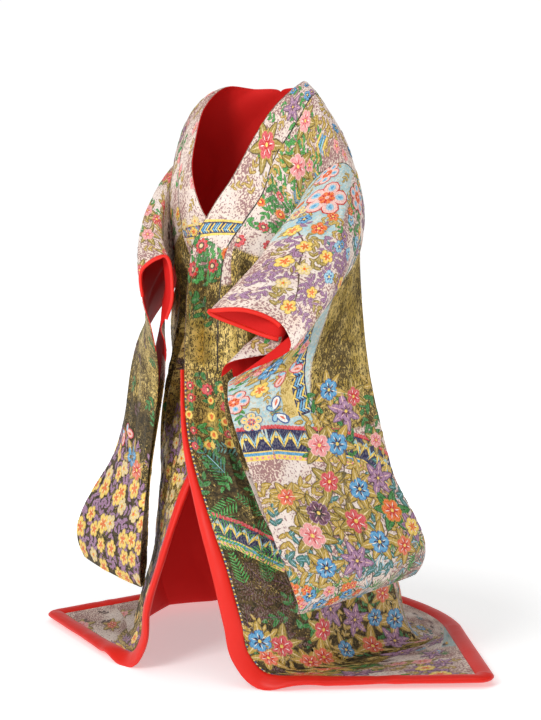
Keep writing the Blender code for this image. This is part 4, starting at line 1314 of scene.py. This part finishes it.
def cuff_roll(sleeve, name, node):
    """The red roll round the mouth of a cuff."""
    w = sleeve_rows(sleeve)
    first, last = (sleeve.w_of(name) for name in CUFF_ENDS[sleeve.side])
    w = w[(w > first - 1e-6) & (w < last + 1e-6)]
    ones = np.ones_like(w)
    edge = sleeve.at(ones, w)
    up = sleeve.directions(ones, w)
    out = squared(sleeve.at(ones + OUT_STEP, w) - edge, edge, up)
    edge = edge + out * CUFF_SEAM_GAP
    return roll(name, node, edge, out, up, CUFF_ROLL_WIDTH, CUFF_ROLL_THICK,
                SEEDS["cuff"][sleeve.side], CUFF_ROLL_SHOWN)


# ---- where the motifs go -----------------------------------------------------------
# The beds of motifs on each piece: what grows there, the colours it draws from, the places
# it covers along the cloth, how far apart they stand, the least and greatest size, and the
# places it covers across the cloth where it doesn't go all the way.
Bed = namedtuple("Bed", "motif palettes b to_b apart small large a to_a", defaults=(-1, 1))
FLOWERS = "rose coral pink sky mauve yellow pale_blue"
BEDS = {
    "collar_left": (
        # Sparse sprays on the pale ground, and leaves where the fronts cross.
        ("sprig", "green gold gold", -0.30, -0.04, 0.045, 0.015, 0.022),
        ("blossom", "mauve sky pink", -0.06, 0.23, 0.050, 0.010, 0.015),
        ("sprig", "gold green", 0.02, 0.23, 0.050, 0.016, 0.022),
        ("sprig", "dark_green green", -0.50, -0.41, 0.030, 0.018, 0.026),
        ("round_flower", "red orange", -0.49, -0.42, 0.045, 0.013, 0.018),
        ("sprig", "green dark_green", -0.60, -0.48, 0.050, 0.018, 0.026),
    ),
    "collar_right": (
        ("sprig", "green gold", -0.36, 0.23, 0.070, 0.014, 0.020),
        ("blossom", "pink mauve", -0.33, 0.23, 0.080, 0.010, 0.016),
        ("blossom", "yellow cream", -0.47, -0.36, 0.035, 0.011, 0.015),
        ("sprig", "mauve_leaf gold", -0.50, -0.36, 0.040, 0.014, 0.020),
    ),
    "body_left": (
        # The shoulder and chest: peonies and leaves over navy waves.
        ("sprig", "green green gold", -0.20, -0.02, 0.032, 0.016, 0.024, -1, 0.13),
        ("sprig", "gold gold", -0.24, 0.04, 0.048, 0.018, 0.026, -1, 0.14),
        ("sprig", "dark_green green", -0.36, -0.20, 0.034, 0.018, 0.026),
        ("round_flower", "red orange", -0.42, -0.24, 0.055, 0.012, 0.018),
        ("blossom", "yellow sky pink", -0.14, 0.10, 0.055, 0.012, 0.017, 0.08, 1),
        # The front: ferns and small red flowers, then a garden to the hem.
        ("fern", "green teal dark_green", -1.15, -0.75, 0.085, 0.040, 0.060),
        ("round_flower", "red yellow", -0.95, -0.65, 0.055, 0.012, 0.017),
        ("peony", "rose coral sky mauve", -1.45, -1.16, 0.085, 0.024, 0.032),
        ("sprig", "gold gold dark_green", -1.50, -1.12, 0.050, 0.022, 0.032),
        ("peony", "pink yellow mauve", -1.72, -1.50, 0.150, 0.019, 0.028),
        ("grass", "green brown teal", -1.75, -1.48, 0.090, 0.024, 0.036),
        ("blossom", "pale_blue yellow", -1.75, -1.50, 0.120, 0.010, 0.016),
        # The back: sprays across the shoulders, gold behind the waist, a garden down the train.
        ("peony", "pink sky rose", 0.26, 0.60, 0.130, 0.024, 0.032),
        ("sprig", "gold green", 0.10, 0.64, 0.075, 0.020, 0.028),
        ("fern", "green teal dark_green", 0.66, 1.10, 0.120, 0.045, 0.065),
        ("blossom", "yellow cream red", 0.66, 1.12, 0.085, 0.017, 0.024),
        ("peony", FLOWERS, 1.20, 1.52, 0.092, 0.024, 0.034),
        ("sprig", "gold gold teal", 1.16, 1.56, 0.056, 0.024, 0.034),
        ("grass", "teal green brown", 1.56, 1.75, 0.085, 0.026, 0.036),
    ),
    "okumi_left": (
        # Ferns and small red flowers down to the knee, then a garden to the hem.
        ("fern", "green dark_green teal", -1.06, -0.84, 0.075, 0.040, 0.060),
        ("round_flower", "red red yellow", -0.90, -0.72, 0.040, 0.011, 0.016),
        ("sprig", "dark_green green", -1.00, -0.73, 0.055, 0.020, 0.030),
        ("fern", "dark_green green", -1.20, -1.06, 0.060, 0.040, 0.055),
        ("fern", "brown brown", -1.30, -1.16, 0.050, 0.040, 0.055),
        ("peony", "rose coral sky", -1.50, -1.28, 0.072, 0.022, 0.030),
        ("sprig", "gold brown dark_green", -1.55, -1.25, 0.045, 0.022, 0.030),
        ("peony", "yellow mauve pink", -1.75, -1.50, 0.085, 0.018, 0.026),
        ("sprig", "green gold", -1.75, -1.48, 0.062, 0.016, 0.026),
    ),
    "body_right": (
        # The chest and front: gold ground, yellow and mauve by the edge, a pale hem.
        ("sprig", "gold green", -0.36, 0.06, 0.060, 0.018, 0.026),
        ("blossom", "pink mauve yellow", -0.34, 0.06, 0.070, 0.012, 0.018),
        ("sprig", "brown dark_green", -0.95, -0.42, 0.110, 0.018, 0.026),
        ("blossom", "yellow cream", -1.40, -0.90, 0.075, 0.018, 0.026),
        ("sprig", "mauve_leaf gold", -1.45, -0.88, 0.052, 0.022, 0.030),
        ("peony", "pink coral", -1.74, -1.50, 0.160, 0.022, 0.032),
        ("sprig", "green brown", -1.74, -1.48, 0.120, 0.020, 0.030),
        # The back, much as on the left.
        ("peony", "pink mauve coral", 0.26, 0.60, 0.130, 0.024, 0.032),
        ("sprig", "gold green", 0.10, 0.64, 0.075, 0.020, 0.028),
        ("fern", "green teal dark_green", 0.60, 1.04, 0.120, 0.045, 0.065),
        ("blossom", "yellow cream coral", 0.60, 1.06, 0.085, 0.017, 0.024),
        ("peony", FLOWERS, 1.16, 1.52, 0.092, 0.024, 0.034),
        ("sprig", "gold gold teal", 1.12, 1.56, 0.056, 0.024, 0.034),
        ("grass", "teal green brown", 1.56, 1.75, 0.085, 0.026, 0.036),
    ),
    "okumi_right": (
        ("blossom", "yellow cream", -1.18, -0.76, 0.050, 0.015, 0.021),
        ("sprig", "mauve_leaf mauve_leaf gold", -1.20, -0.74, 0.040, 0.018, 0.025),
        ("sprig", "gold brown", -1.50, -1.15, 0.055, 0.020, 0.028),
        ("peony", "sky yellow mauve", -1.50, -1.15, 0.085, 0.018, 0.025),
        ("peony", "pink coral", -1.74, -1.52, 0.130, 0.020, 0.028),
        ("sprig", "green brown", -1.74, -1.52, 0.100, 0.018, 0.026),
    ),
    "sleeve_left": (
        # Yellow blossoms by the cuff and medallions on the shoulder.
        ("sprig", "mauve_leaf mauve_leaf mauve_leaf plum",
         0.98, 1.16, 0.034, 0.017, 0.024, 0.20, 0.42),
        ("sprig", "gold gold", 0.88, 1.12, 0.050, 0.014, 0.020, -1, 0.24),
        ("blossom", "orange sky yellow", 0.86, 1.14, 0.060, 0.010, 0.015, -1, 0.22),
        ("sprig", "mauve_leaf teal green", 1.08, 1.24, 0.045, 0.015, 0.022, -1, 0.30),
        ("blossom", "yellow mauve pale_blue", 1.08, 1.26, 0.055, 0.012, 0.017, -1, 0.30),
        # Its hanging panel: a light blue field, a gold one, and a tree of flowers below the band.
        ("sprig", "green gold gold", 1.28, 1.54, 0.040, 0.014, 0.022, 0.22, 1),
        ("blossom", "coral pink yellow", 1.28, 1.55, 0.050, 0.013, 0.019, 0.22, 1),
        ("round_flower", "red orange pink", 1.28, 1.55, 0.075, 0.010, 0.015, 0.22, 1),
        ("sprig", "gold gold gold teal", 1.67, 1.92, 0.040, 0.024, 0.033),
        ("sprig", "gold orange", 1.50, 1.64, 0.042, 0.022, 0.030, -1, 0.20),
        ("grass", "teal teal green", 1.86, 1.98, 0.036, 0.024, 0.036),
        ("blossom", "orange pink sky coral", 1.88, 1.97, 0.034, 0.012, 0.017, 0.20, 1),
        # Its side towards the body.
        ("peony", FLOWERS, 0.03, 0.38, 0.080, 0.022, 0.030),
        ("sprig", "gold gold teal", 0.02, 0.40, 0.050, 0.022, 0.032),
        ("sprig", "gold green", 0.40, 0.86, 0.075, 0.020, 0.028),
        ("blossom", "yellow pink mauve", 0.40, 0.86, 0.085, 0.016, 0.022),
    ),
    "sleeve_right": (
        # Pale with pink sprays above, yellow and mauve on gold below.
        ("sprig", "green gold", 0.86, 1.20, 0.060, 0.016, 0.024),
        ("peony", "pink rose", 0.88, 1.18, 0.095, 0.016, 0.022),
        ("sprig", "brown dark_green", 1.22, 1.56, 0.080, 0.018, 0.026),
        ("blossom", "yellow yellow cream", 1.64, 1.95, 0.062, 0.022, 0.030),
        ("sprig", "mauve_leaf", 1.60, 1.95, 0.040, 0.022, 0.030),
        ("blossom", "yellow cream", 0.03, 0.34, 0.070, 0.022, 0.030),
        ("sprig", "mauve_leaf gold", 0.02, 0.38, 0.050, 0.022, 0.030),
        ("sprig", "brown gold", 0.38, 0.86, 0.080, 0.018, 0.026),
    ),
}

# The motifs laid one by one on each piece: what, its colours, place, turn and size.
Laid = namedtuple("Laid", "motif palette a b turn size")
LAID = {
    "collar_left": (
        ("peony", "rose", 0.044, -0.180, 0.4, 0.030),
        ("peony", "mauve", 0.050, -0.072, 1.4, 0.016),
    ),
    "body_left": (
        ("peony", "pink", 0.022, -0.062, 0.2, 0.021),
        ("peony", "pink", 0.062, -0.140, 1.0, 0.026),
        ("wave", "band_wave", 0.100, -0.050, 0.4, 0.036),
        ("wave", "band_wave", 0.092, -0.200, 1.3, 0.034),
        ("wave", "band_wave", 0.128, -0.110, 2.2, 0.030),
    ),
    "sleeve_left": (
        ("medallion", "medallion", 0.115, 1.020, 0.3, 0.050),
        ("medallion", "medallion", 0.030, 0.985, 1.1, 0.034),
        ("medallion", "medallion_blue", 0.150, 0.968, 0.0, 0.022),
        ("medallion", "medallion", 0.060, 1.110, 0.8, 0.036),
        ("blossom", "orange", 0.205, 1.040, 0.5, 0.019),
        ("blossom", "yellow", 0.215, 0.990, 0.1, 0.018),
        ("blossom", "yellow", 0.262, 1.036, 1.0, 0.018),
        ("blossom", "yellow", 0.312, 1.020, 0.3, 0.019),
        ("blossom", "cream", 0.316, 1.064, 0.8, 0.016),
        ("blossom", "yellow", 0.262, 1.088, 0.0, 0.017),
        ("blossom", "cream", 0.368, 1.048, 0.6, 0.015),
        ("blossom", "yellow", 0.410, 1.090, 0.2, 0.018),
        ("blossom", "yellow", 0.352, 1.110, 0.9, 0.015),
        ("medallion", "medallion", 0.355, 1.470, 0.2, 0.034),
        ("medallion", "medallion_blue", 0.322, 1.532, 0.5, 0.024),
        ("peony", "sky", 0.300, 1.395, 0.3, 0.026),
        ("blossom", "yellow", 0.300, 1.452, 0.0, 0.022),
        ("butterfly", "pink_wing", 0.238, 1.430, 2.0, 0.036),
        ("butterfly", "blue_wing", 0.262, 1.518, 3.4, 0.036),
        ("peony", "sky", 0.130, 1.500, 0.2, 0.024),
        ("peony", "mauve", 0.098, 1.556, 1.2, 0.024),
        ("peony", "rose", 0.066, 1.530, 2.2, 0.022),
        ("peony", "pink", 0.188, 1.615, 0.4, 0.027),
        ("peony", "sky", 0.142, 1.622, 1.4, 0.027),
        ("peony", "pink", 0.030, 1.640, 1.0, 0.018),
        ("peony", "rose", 0.190, 1.700, 0.8, 0.026),
        ("peony", "sky", 0.118, 1.735, 0.1, 0.026),
        ("peony", "mauve", 0.055, 1.725, 0.6, 0.023),
        ("peony", "plum", 0.245, 1.760, 1.3, 0.026),
        ("peony", "coral", 0.300, 1.712, 0.5, 0.021),
        ("peony", "pink", 0.285, 1.800, 0.2, 0.027),
        ("peony", "rose", 0.168, 1.795, 0.9, 0.028),
        ("peony", "sky", 0.140, 1.850, 1.6, 0.026),
        ("peony", "orange", 0.062, 1.800, 0.4, 0.028),
        ("peony", "sky", 0.290, 1.868, 0.7, 0.023),
        ("peony", "mauve", 0.215, 1.872, 0.2, 0.023),
        ("peony", "coral", 0.075, 1.880, 1.1, 0.024),
        ("peony", "yellow", 0.028, 1.850, 0.3, 0.022),
    ),
    "sleeve_right": (
        ("peony", "sky", 0.175, 1.640, 0.3, 0.028),
        ("peony", "coral", 0.215, 1.662, 1.0, 0.028),
        ("butterfly", "pink_wing", 0.120, 1.600, 0.9, 0.040),
    ),
}


TRIANGLES = 0.62          # the size and spacing of a band's triangles, of its width


def banded(work, path, across_it):
    """A navy band of triangles along a path, with its red, blue and yellow borders."""
    def beside(distance):
        line = np.array(path)
        way = unit(np.gradient(line, axis=0))
        return line + np.stack([way[:, 1], -way[:, 0]], axis=1) * distance

    half = across_it / 2
    triangle = across_it * TRIANGLES
    work.ribbon(path, across_it, "navy", 0.8)
    work.row("chevron", "band", path, triangle, triangle, -math.pi / 2)
    work.ribbon(beside(-half), 0.005, "red", 1.4)
    work.row("dot", "red", beside(-half - 0.003), 0.008, 0.0045)
    work.ribbon(beside(half + 0.001), 0.003, "yellow", 1.2)
    work.ribbon(beside(half + 0.0055), 0.007, "sky", 1.0)
    work.ribbon(beside(half + 0.0145), 0.011, "yellow", 1.0)
    work.row("dot", "pink", beside(half + 0.0145), 0.012, 0.0033)


def left_sleeve_bands(work):
    banded(work, [(0.36, 1.572), (0.28, 1.580), (0.224, 1.596), (0.129, 1.622), (0.065, 1.655),
                  (0.0, 1.725)], 0.052)
    work.ribbon([(0.262, 1.33), (0.235, 1.42), (0.222, 1.54)], 0.040, "straw", 0.7)
    wave_path = [(0.240, 1.33), (0.214, 1.42), (0.200, 1.54)]
    work.ribbon(wave_path, 0.028, "navy", 0.9)
    work.row("wave", "band_wave", wave_path, 0.030, 0.030, 1.57)
    work.ribbon([(0.222, 1.33), (0.196, 1.42), (0.182, 1.54)], 0.004, "navy", 1.0)


def front_edge(work):
    """The row of stitches where the brocade meets the red roll."""
    for k, palette in enumerate(("gold", "brown", "cream", "navy_stitch")):
        path = [(0.0035, -1.755 + 0.005 * k), (0.0035, -0.71)]
        work.row("dot", palette, path, 0.020, 0.0024)


def left_front_band(work):
    banded(work, [(0.0, -1.065), (0.06, -1.085), (0.155, -1.14)], 0.046)


def left_body_band(work):
    banded(work, [(0.0, -1.14), (0.12, -1.17), (0.32, -1.18)], 0.046)
    banded(work, [(0.0, 1.10), (0.20, 1.13), (0.48, 1.10)], 0.056)


def right_body_band(work):
    banded(work, [(0.0, 1.10), (0.20, 1.06), (0.52, 1.08)], 0.056)


def crossing_bands(work):
    """A wave band where the fronts cross, half hidden by leaves."""
    path = [(0.0, -0.405), (0.04, -0.388), (0.085, -0.372)]
    work.ribbon(path, 0.028, "navy", 0.8)
    work.row("wave", "band_wave", path, 0.024, 0.022)
    for aside in (-0.016, 0.016):
        work.ribbon([(a, b + aside) for a, b in path], 0.005, "yellow", 1.2)


def collar_seam(work):
    work.ribbon([(0.0832, -0.70), (0.0832, -0.30), (0.0832, 0.05)], 0.0030, "black", 3.0)
    work.ribbon([(0.0010, -0.70), (0.0010, 0.0), (0.0010, 0.10)], 0.0016, "brown", 1.6)


def armhole_seam(work):
    work.ribbon([(0.0012, 0.86), (0.0012, 1.0), (0.0012, 1.24)], 0.0020, "black", 2.6)


def branches(work):
    """Brown stems behind the sleeve's blossoms and tree."""
    for path in (
        [(0.205, 0.990), (0.262, 1.036), (0.312, 1.050), (0.366, 1.080), (0.420, 1.104)],
        [(0.262, 1.036), (0.300, 1.010), (0.330, 0.990)],
        [(0.312, 1.050), (0.300, 1.088), (0.262, 1.100)],
        [(0.366, 1.080), (0.356, 1.110), (0.330, 1.130)],
        [(0.175, 1.960), (0.185, 1.860), (0.165, 1.760), (0.140, 1.680), (0.105, 1.560)],
        [(0.165, 1.760), (0.230, 1.745), (0.290, 1.712)],
        [(0.180, 1.820), (0.240, 1.810), (0.285, 1.800)],
        [(0.165, 1.760), (0.110, 1.735), (0.050, 1.725)],
        [(0.185, 1.860), (0.120, 1.850), (0.060, 1.800)],
        [(0.182, 1.890), (0.230, 1.885), (0.290, 1.868)],
    ):
        work.ribbon(path, 0.0032, "brown", 1.0)


EXTRAS = {
    "sleeve_left": (left_sleeve_bands, branches, armhole_seam),
    "sleeve_right": (armhole_seam,),
    "okumi_left": (left_front_band, front_edge),
    "okumi_right": (front_edge,),
    "body_left": (left_body_band,),
    "body_right": (right_body_band,),
    "collar_left": (crossing_bands, collar_seam),
    "collar_right": (crossing_bands, collar_seam),
}


ROW_STEP = 0.87           # between a bed's rows, of its spacing
SCATTER = 0.3             # how far a motif strays, of its spacing
LOOSE_LIFT = 0.0003       # motifs lie on one another by up to this much
FLOWER_LIFT = 0.0005
HAND_LIFT = 0.0009
FIRST_SEED = 100
KEPT_CLEAR = (0.9, 0.8)   # round a motif laid one by one: of its size, and of the bed's largest
FLAT_MOTIFS = ("sprig", "grass", "fern")
RAISED_MOTIFS = ("peony", "blossom", "round_flower")


def sown(bed, cloth, rng):
    """Uneven places over a bed, in rows shifted by half a step."""
    a_low, a_high = max(bed.a, 0), min(bed.to_a, float(cloth.width.max()))
    b_low, b_high = max(bed.b, cloth.rows[0]), min(bed.to_b, cloth.rows[-1])
    places = []
    for k, b in enumerate(np.arange(b_low + bed.apart / 2, b_high, bed.apart * ROW_STEP)):
        shift = bed.apart / 2 * (k % 2)
        for a in np.arange(a_low + bed.apart / 4 + shift, a_high, bed.apart):
            places.append((a, b))
    places = np.array(places).reshape(-1, 2)
    places = places + rng.uniform(-SCATTER, SCATTER, places.shape) * bed.apart
    width = np.interp(places[:, 1], cloth.rows, cloth.width)
    return places[places[:, 0] < width + bed.small / 2]


def embroider(cloth, number):
    """All the threads of a piece: its beds, what is laid one by one, and its bands."""
    work = Embroidery(cloth)
    rng = np.random.default_rng(FIRST_SEED + number)
    by_hand = [Laid(*row) for row in LAID.get(cloth.name, ())]
    for bed in (Bed(*row) for row in BEDS[cloth.name]):
        places = sown(bed, cloth, rng)
        if bed.motif not in FLAT_MOTIFS:
            for m in by_hand:
                away = np.hypot(places[:, 0] - m.a, places[:, 1] - m.b)
                places = places[away > m.size * KEPT_CLEAR[0] + bed.large * KEPT_CLEAR[1]]
        names = bed.palettes.split()
        chosen = [names[k] for k in rng.integers(0, len(names), len(places))]
        turn = rng.uniform(0, 2 * math.pi, len(places))
        size = rng.uniform(bed.small, bed.large, len(places))
        lift = rng.uniform(0, LOOSE_LIFT, len(places))
        if bed.motif in RAISED_MOTIFS:
            lift += FLOWER_LIFT
        work.lay(bed.motif, chosen, places[:, 0], places[:, 1], turn, size, lift)
    for extra in EXTRAS.get(cloth.name, ()):
        extra(work)
    for m in by_hand:
        work.lay(m.motif, [m.palette], [m.a], [m.b], [m.turn], [m.size], [HAND_LIFT])
    return work.made()


# ---- creases -----------------------------------------------------------------------
# The creases of each piece as first drawn, which DEEPER makes higher: the photo's are
# deeper. FULL_CREASES are the gathers at the waist and others drawn at their full height.
DEEPER = {"body": 1.75, "okumi": 1.5, "collar": 1.4, "sleeve": 1.45}
CREASES = {
    "body_left": (
        (0.030, -0.42, 0.075, -1.02, 0.012, 0.010, 0.0052),
        (0.072, -0.47, 0.135, -0.92, -0.010, 0.009, -0.0046),
        (0.110, -0.40, 0.185, -1.10, 0.018, 0.013, 0.0060),
        (0.170, -0.52, 0.260, -1.22, 0.012, 0.015, -0.0055),
        (0.210, -0.48, 0.300, -0.98, -0.014, 0.012, 0.0050),
        (0.060, -0.06, 0.110, -0.30, 0.010, 0.012, 0.0028),
        (0.020, -1.30, 0.180, -1.58, 0.020, 0.016, 0.0040),
        (0.120, -1.40, 0.300, -1.66, -0.016, 0.014, -0.0035),
        (0.050, 0.30, 0.090, 0.96, 0.020, 0.016, 0.0055),
        (0.130, 0.36, 0.190, 1.20, -0.018, 0.018, -0.0060),
        (0.210, 0.28, 0.280, 1.05, 0.015, 0.015, 0.0060),
        (0.290, 0.50, 0.380, 1.30, 0.010, 0.018, 0.0048),
        (0.100, 1.05, 0.160, 1.52, -0.015, 0.017, 0.0045),
        (0.300, 1.20, 0.260, 1.62, 0.020, 0.016, -0.0045),
    ),
    "body_right": (
        (0.030, -0.40, 0.050, -0.98, 0.010, 0.009, 0.0050),
        (0.062, -0.45, 0.090, -0.86, -0.008, 0.008, -0.0048),
        (0.095, -0.38, 0.120, -1.05, 0.012, 0.010, 0.0056),
        (0.140, -0.50, 0.160, -1.15, 0.008, 0.012, -0.0050),
        (0.185, -0.46, 0.205, -0.92, -0.010, 0.010, 0.0048),
        (0.050, -1.22, 0.150, -1.56, 0.018, 0.015, 0.0038),
        (0.060, 0.34, 0.100, 1.02, -0.018, 0.016, 0.0055),
        (0.150, 0.30, 0.200, 1.14, 0.020, 0.018, -0.0058),
        (0.230, 0.32, 0.310, 1.10, -0.012, 0.015, 0.0060),
        (0.330, 0.55, 0.420, 1.34, 0.014, 0.018, 0.0046),
        (0.130, 1.12, 0.200, 1.56, 0.015, 0.016, -0.0042),
        (0.360, 1.25, 0.330, 1.64, -0.018, 0.017, 0.0045),
    ),
    "okumi_left": (
        (0.030, -0.74, 0.070, -1.10, 0.008, 0.009, 0.0036),
        (0.100, -0.82, 0.110, -1.24, -0.010, 0.010, -0.0036),
        (0.060, -1.20, 0.095, -1.52, 0.010, 0.012, 0.0038),
    ),
    "okumi_right": (
        (0.050, -0.74, 0.075, -1.02, 0.007, 0.009, 0.0036),
        (0.095, -0.80, 0.105, -1.30, -0.010, 0.010, -0.0038),
        (0.040, -1.16, 0.080, -1.50, 0.010, 0.011, 0.0036),
    ),
    "collar_left": (
        (0.045, -0.02, 0.060, -0.20, 0.004, 0.011, 0.0016),
    ),
    "collar_right": (
        (0.034, -0.42, 0.040, -0.66, -0.003, 0.008, -0.0028),
    ),
    "sleeve_left": (
        (0.060, 0.930, 0.330, 1.000, 0.016, 0.013, 0.0040),
        (0.130, 1.020, 0.420, 1.050, -0.012, 0.014, -0.0032),
        (0.050, 1.060, 0.300, 1.130, 0.014, 0.015, 0.0045),
        (0.100, 1.130, 0.380, 1.165, -0.010, 0.011, -0.0030),
        (0.030, 1.180, 0.200, 1.250, 0.010, 0.012, 0.0038),
        (0.150, 1.260, 0.330, 1.420, 0.014, 0.012, 0.0040),
        (0.065, 1.300, 0.110, 1.640, -0.012, 0.014, 0.0044),
        (0.300, 1.480, 0.318, 1.860, -0.012, 0.014, 0.0036),
        (0.120, 1.620, 0.160, 1.930, 0.016, 0.017, -0.0036),
        (0.080, 0.100, 0.050, 0.560, 0.014, 0.016, 0.0042),
        (0.210, 0.060, 0.180, 0.620, -0.016, 0.016, -0.0040),
        (0.290, 0.240, 0.230, 0.700, 0.010, 0.013, 0.0036),
    ),
    "sleeve_right": (
        (0.050, 0.930, 0.300, 0.985, 0.012, 0.012, 0.0040),
        (0.120, 1.010, 0.360, 1.060, -0.012, 0.013, -0.0034),
        (0.040, 1.070, 0.330, 1.140, 0.012, 0.014, 0.0042),
        (0.060, 1.200, 0.280, 1.260, 0.010, 0.012, 0.0036),
        (0.070, 1.320, 0.095, 1.700, 0.010, 0.013, 0.0042),
        (0.160, 1.360, 0.180, 1.820, -0.012, 0.014, -0.0038),
        (0.225, 1.480, 0.260, 1.880, 0.010, 0.013, 0.0036),
        (0.100, 0.080, 0.070, 0.540, -0.012, 0.014, 0.0040),
        (0.190, 0.120, 0.150, 0.640, 0.012, 0.013, -0.0038),
    ),
}
FULL_CREASES = {
    "body_left": (
        (0.022, -0.38, 0.038, -0.86, 0.005, 0.009, 0.0190),
        (0.058, -0.40, 0.094, -0.92, -0.005, 0.009, 0.0180),
        (0.040, 0.05, 0.300, 0.24, 0.014, 0.016, 0.0050),
    ),
    "body_right": (
        (0.020, -0.38, 0.028, -0.90, 0.004, 0.009, 0.0190),
        (0.052, -0.40, 0.072, -0.98, -0.004, 0.009, 0.0180),
        (0.050, 0.04, 0.320, 0.26, -0.014, 0.016, 0.0050),
    ),
    "okumi_left": (
        (0.022, -0.66, 0.034, -0.98, 0.004, 0.009, 0.0170),
        (0.048, -0.70, 0.064, -1.02, -0.004, 0.008, -0.0110),
        (0.080, -0.72, 0.112, -1.10, 0.005, 0.010, 0.0150),
    ),
    "collar_left": (
        (0.024, -0.42, 0.026, -0.79, 0.003, 0.008, 0.0210),
        (0.043, -0.44, 0.045, -0.77, -0.002, 0.006, -0.0130),
        (0.062, -0.43, 0.060, -0.78, 0.002, 0.007, 0.0170),
    ),
    "collar_right": (
        (0.060, -0.44, 0.058, -0.74, 0.003, 0.009, 0.0090),
    ),
    "sleeve_left": (
        (0.210, 1.360, 0.235, 1.760, 0.014, 0.020, -0.0040),
    ),
}


def creases_on(name):
    """All the creases of a piece, with their heights to a tenth of a millimetre."""
    more = DEEPER[name.split("_")[0]]
    drawn = [Crease(*row) for row in CREASES[name]]
    deeper = [c._replace(height=round(c.height * more, 4)) for c in drawn]
    return [Crease(*row) for row in FULL_CREASES.get(name, ())] + deeper


def build_robe():
    left = Half(1, LEFT_FRONT, LEFT_LEVELS)
    right = Half(-1, RIGHT_FRONT, RIGHT_LEVELS)
    left.sleeve = Sleeve(1, LEFT_STATIONS, left)
    right.sleeve = Sleeve(-1, RIGHT_STATIONS, right)
    halves = (("left", left), ("right", right))

    collars = [collar_cloth(half, "collar_" + side) for side, half in halves]
    collar_threads = [embroider(cloth, 20 + k) for k, cloth in enumerate(collars)]
    dressed("collar_brocade", collars, "collar")
    pieces = []
    for side, half in halves:
        pieces += [body_cloth(half, "body_" + side), okumi_cloth(half, "okumi_" + side),
                   sleeve_cloth(half.sleeve, "sleeve_" + side)]
    for number, cloth in enumerate(pieces):
        threads = embroider(cloth, number)
        dressed(cloth.name + "_brocade", [cloth], cloth.name)
    for side, half in halves:
        hem_roll(half, "hem_padding_" + side, "hem_roll_" + side)
        cuff_roll(half.sleeve, "cuff_padding_" + side, "cuff_roll_" + side)


build_robe()


# ---- light, floor and camera ----------------------------------------------------------
CAMERA_TURN = math.radians(30)
CAMERA_DOWN = math.radians(5.4)
CAMERA_AWAY = 4.0
CAMERA_HEIGHT = 1.1
CAMERA_ASIDE = 0.034
LENS = 81.6
SENSOR = 36
FLOOR_DROP = 0.0065       # the studio floor, below the tables' zero height
CHEST = (0, 0, -0.55)     # what the lamps point at


def area_light(name, place, size, power):
    data = bpy.data.lights.new(name, "AREA")
    data.shape = "RECTANGLE"
    data.size, data.size_y = size
    data.energy = power
    lamp = linked(name, data)
    lamp.location = place
    lamp.rotation_euler = (Vector(CHEST) - place).to_track_quat("-Z", "Y").to_euler()
    return lamp


def white_floor():
    """A white studio floor, which glows further out so that it stays white."""
    finish = Finish("studio_white", 0.9, colour=(0.92, 0.92, 0.92), Emission_Strength=1.0)
    place = finish.node("ShaderNodeTexCoord", {}, {}, "Object")
    apart = finish.node("ShaderNodeVectorMath", {"operation": "LENGTH"}, {0: place}, "Value")
    near, far = (0.4, 0.4, 0.4), (0.9, 0.9, 0.9)
    finish.feed("Emission Color", finish.mix(apart.ramp(0.8, 2.0), near, far))
    mesh = bmesh.new()
    bmesh.ops.create_grid(mesh, x_segments=2, y_segments=2, size=14)
    data = bpy.data.meshes.new("studio_floor")
    mesh.to_mesh(data)
    mesh.free()
    data.materials.append(finish.material)
    floor = linked("studio_floor", data)
    floor.location = (0, 0, -HOLD_HEIGHT - FLOOR_DROP)
    return floor


def studio_world():
    """White all round at eye level, and dimmer overhead."""
    world = bpy.data.worlds.new("studio")
    world.use_nodes = True
    tree = world.node_tree
    place = tree.nodes.new("ShaderNodeTexCoord")
    split = tree.nodes.new("ShaderNodeSeparateXYZ")
    tree.links.new(place.outputs["Generated"], split.inputs[0])
    height = Value(tree, split.outputs["Z"])
    strength = 1.02 - 0.76 * height.ramp(0.17, 0.36)
    background = tree.nodes["Background"]
    background.inputs["Color"].default_value = (1, 1, 1, 1)
    tree.links.new(strength.socket, background.inputs["Strength"])
    return world


def set_scene():
    right = Vector((math.cos(CAMERA_TURN), math.sin(CAMERA_TURN), 0))
    forward = Vector((-math.sin(CAMERA_TURN), math.cos(CAMERA_TURN), 0))
    data = bpy.data.cameras.new("camera")
    data.lens = LENS
    data.sensor_width = SENSOR
    camera = linked("camera", data)
    up = Vector((0, 0, 1))
    camera.location = (
        right * CAMERA_ASIDE - forward * CAMERA_AWAY + up * (CAMERA_HEIGHT - HOLD_HEIGHT)
    )
    camera.rotation_euler = (math.pi / 2 - CAMERA_DOWN, 0, CAMERA_TURN)
    bpy.context.scene.camera = camera

    lamps = [
        area_light(name, right * aside + forward * ahead + up * height, size, power)
        for name, aside, ahead, height, size, power in (
            ("key", -1.9, -2.9, 1.3, (1.3, 1.3), 74),
            ("fill", 2.6, -2.6, 0.3, (2.0, 2.2), 6),
            ("top", 0.0, -0.4, 2.2, (2.4, 2.4), 34),
        )
    ]
    bpy.context.scene.world = studio_world()
    bpy.context.scene.view_settings.view_transform = "Standard"
    white_floor()


set_scene()
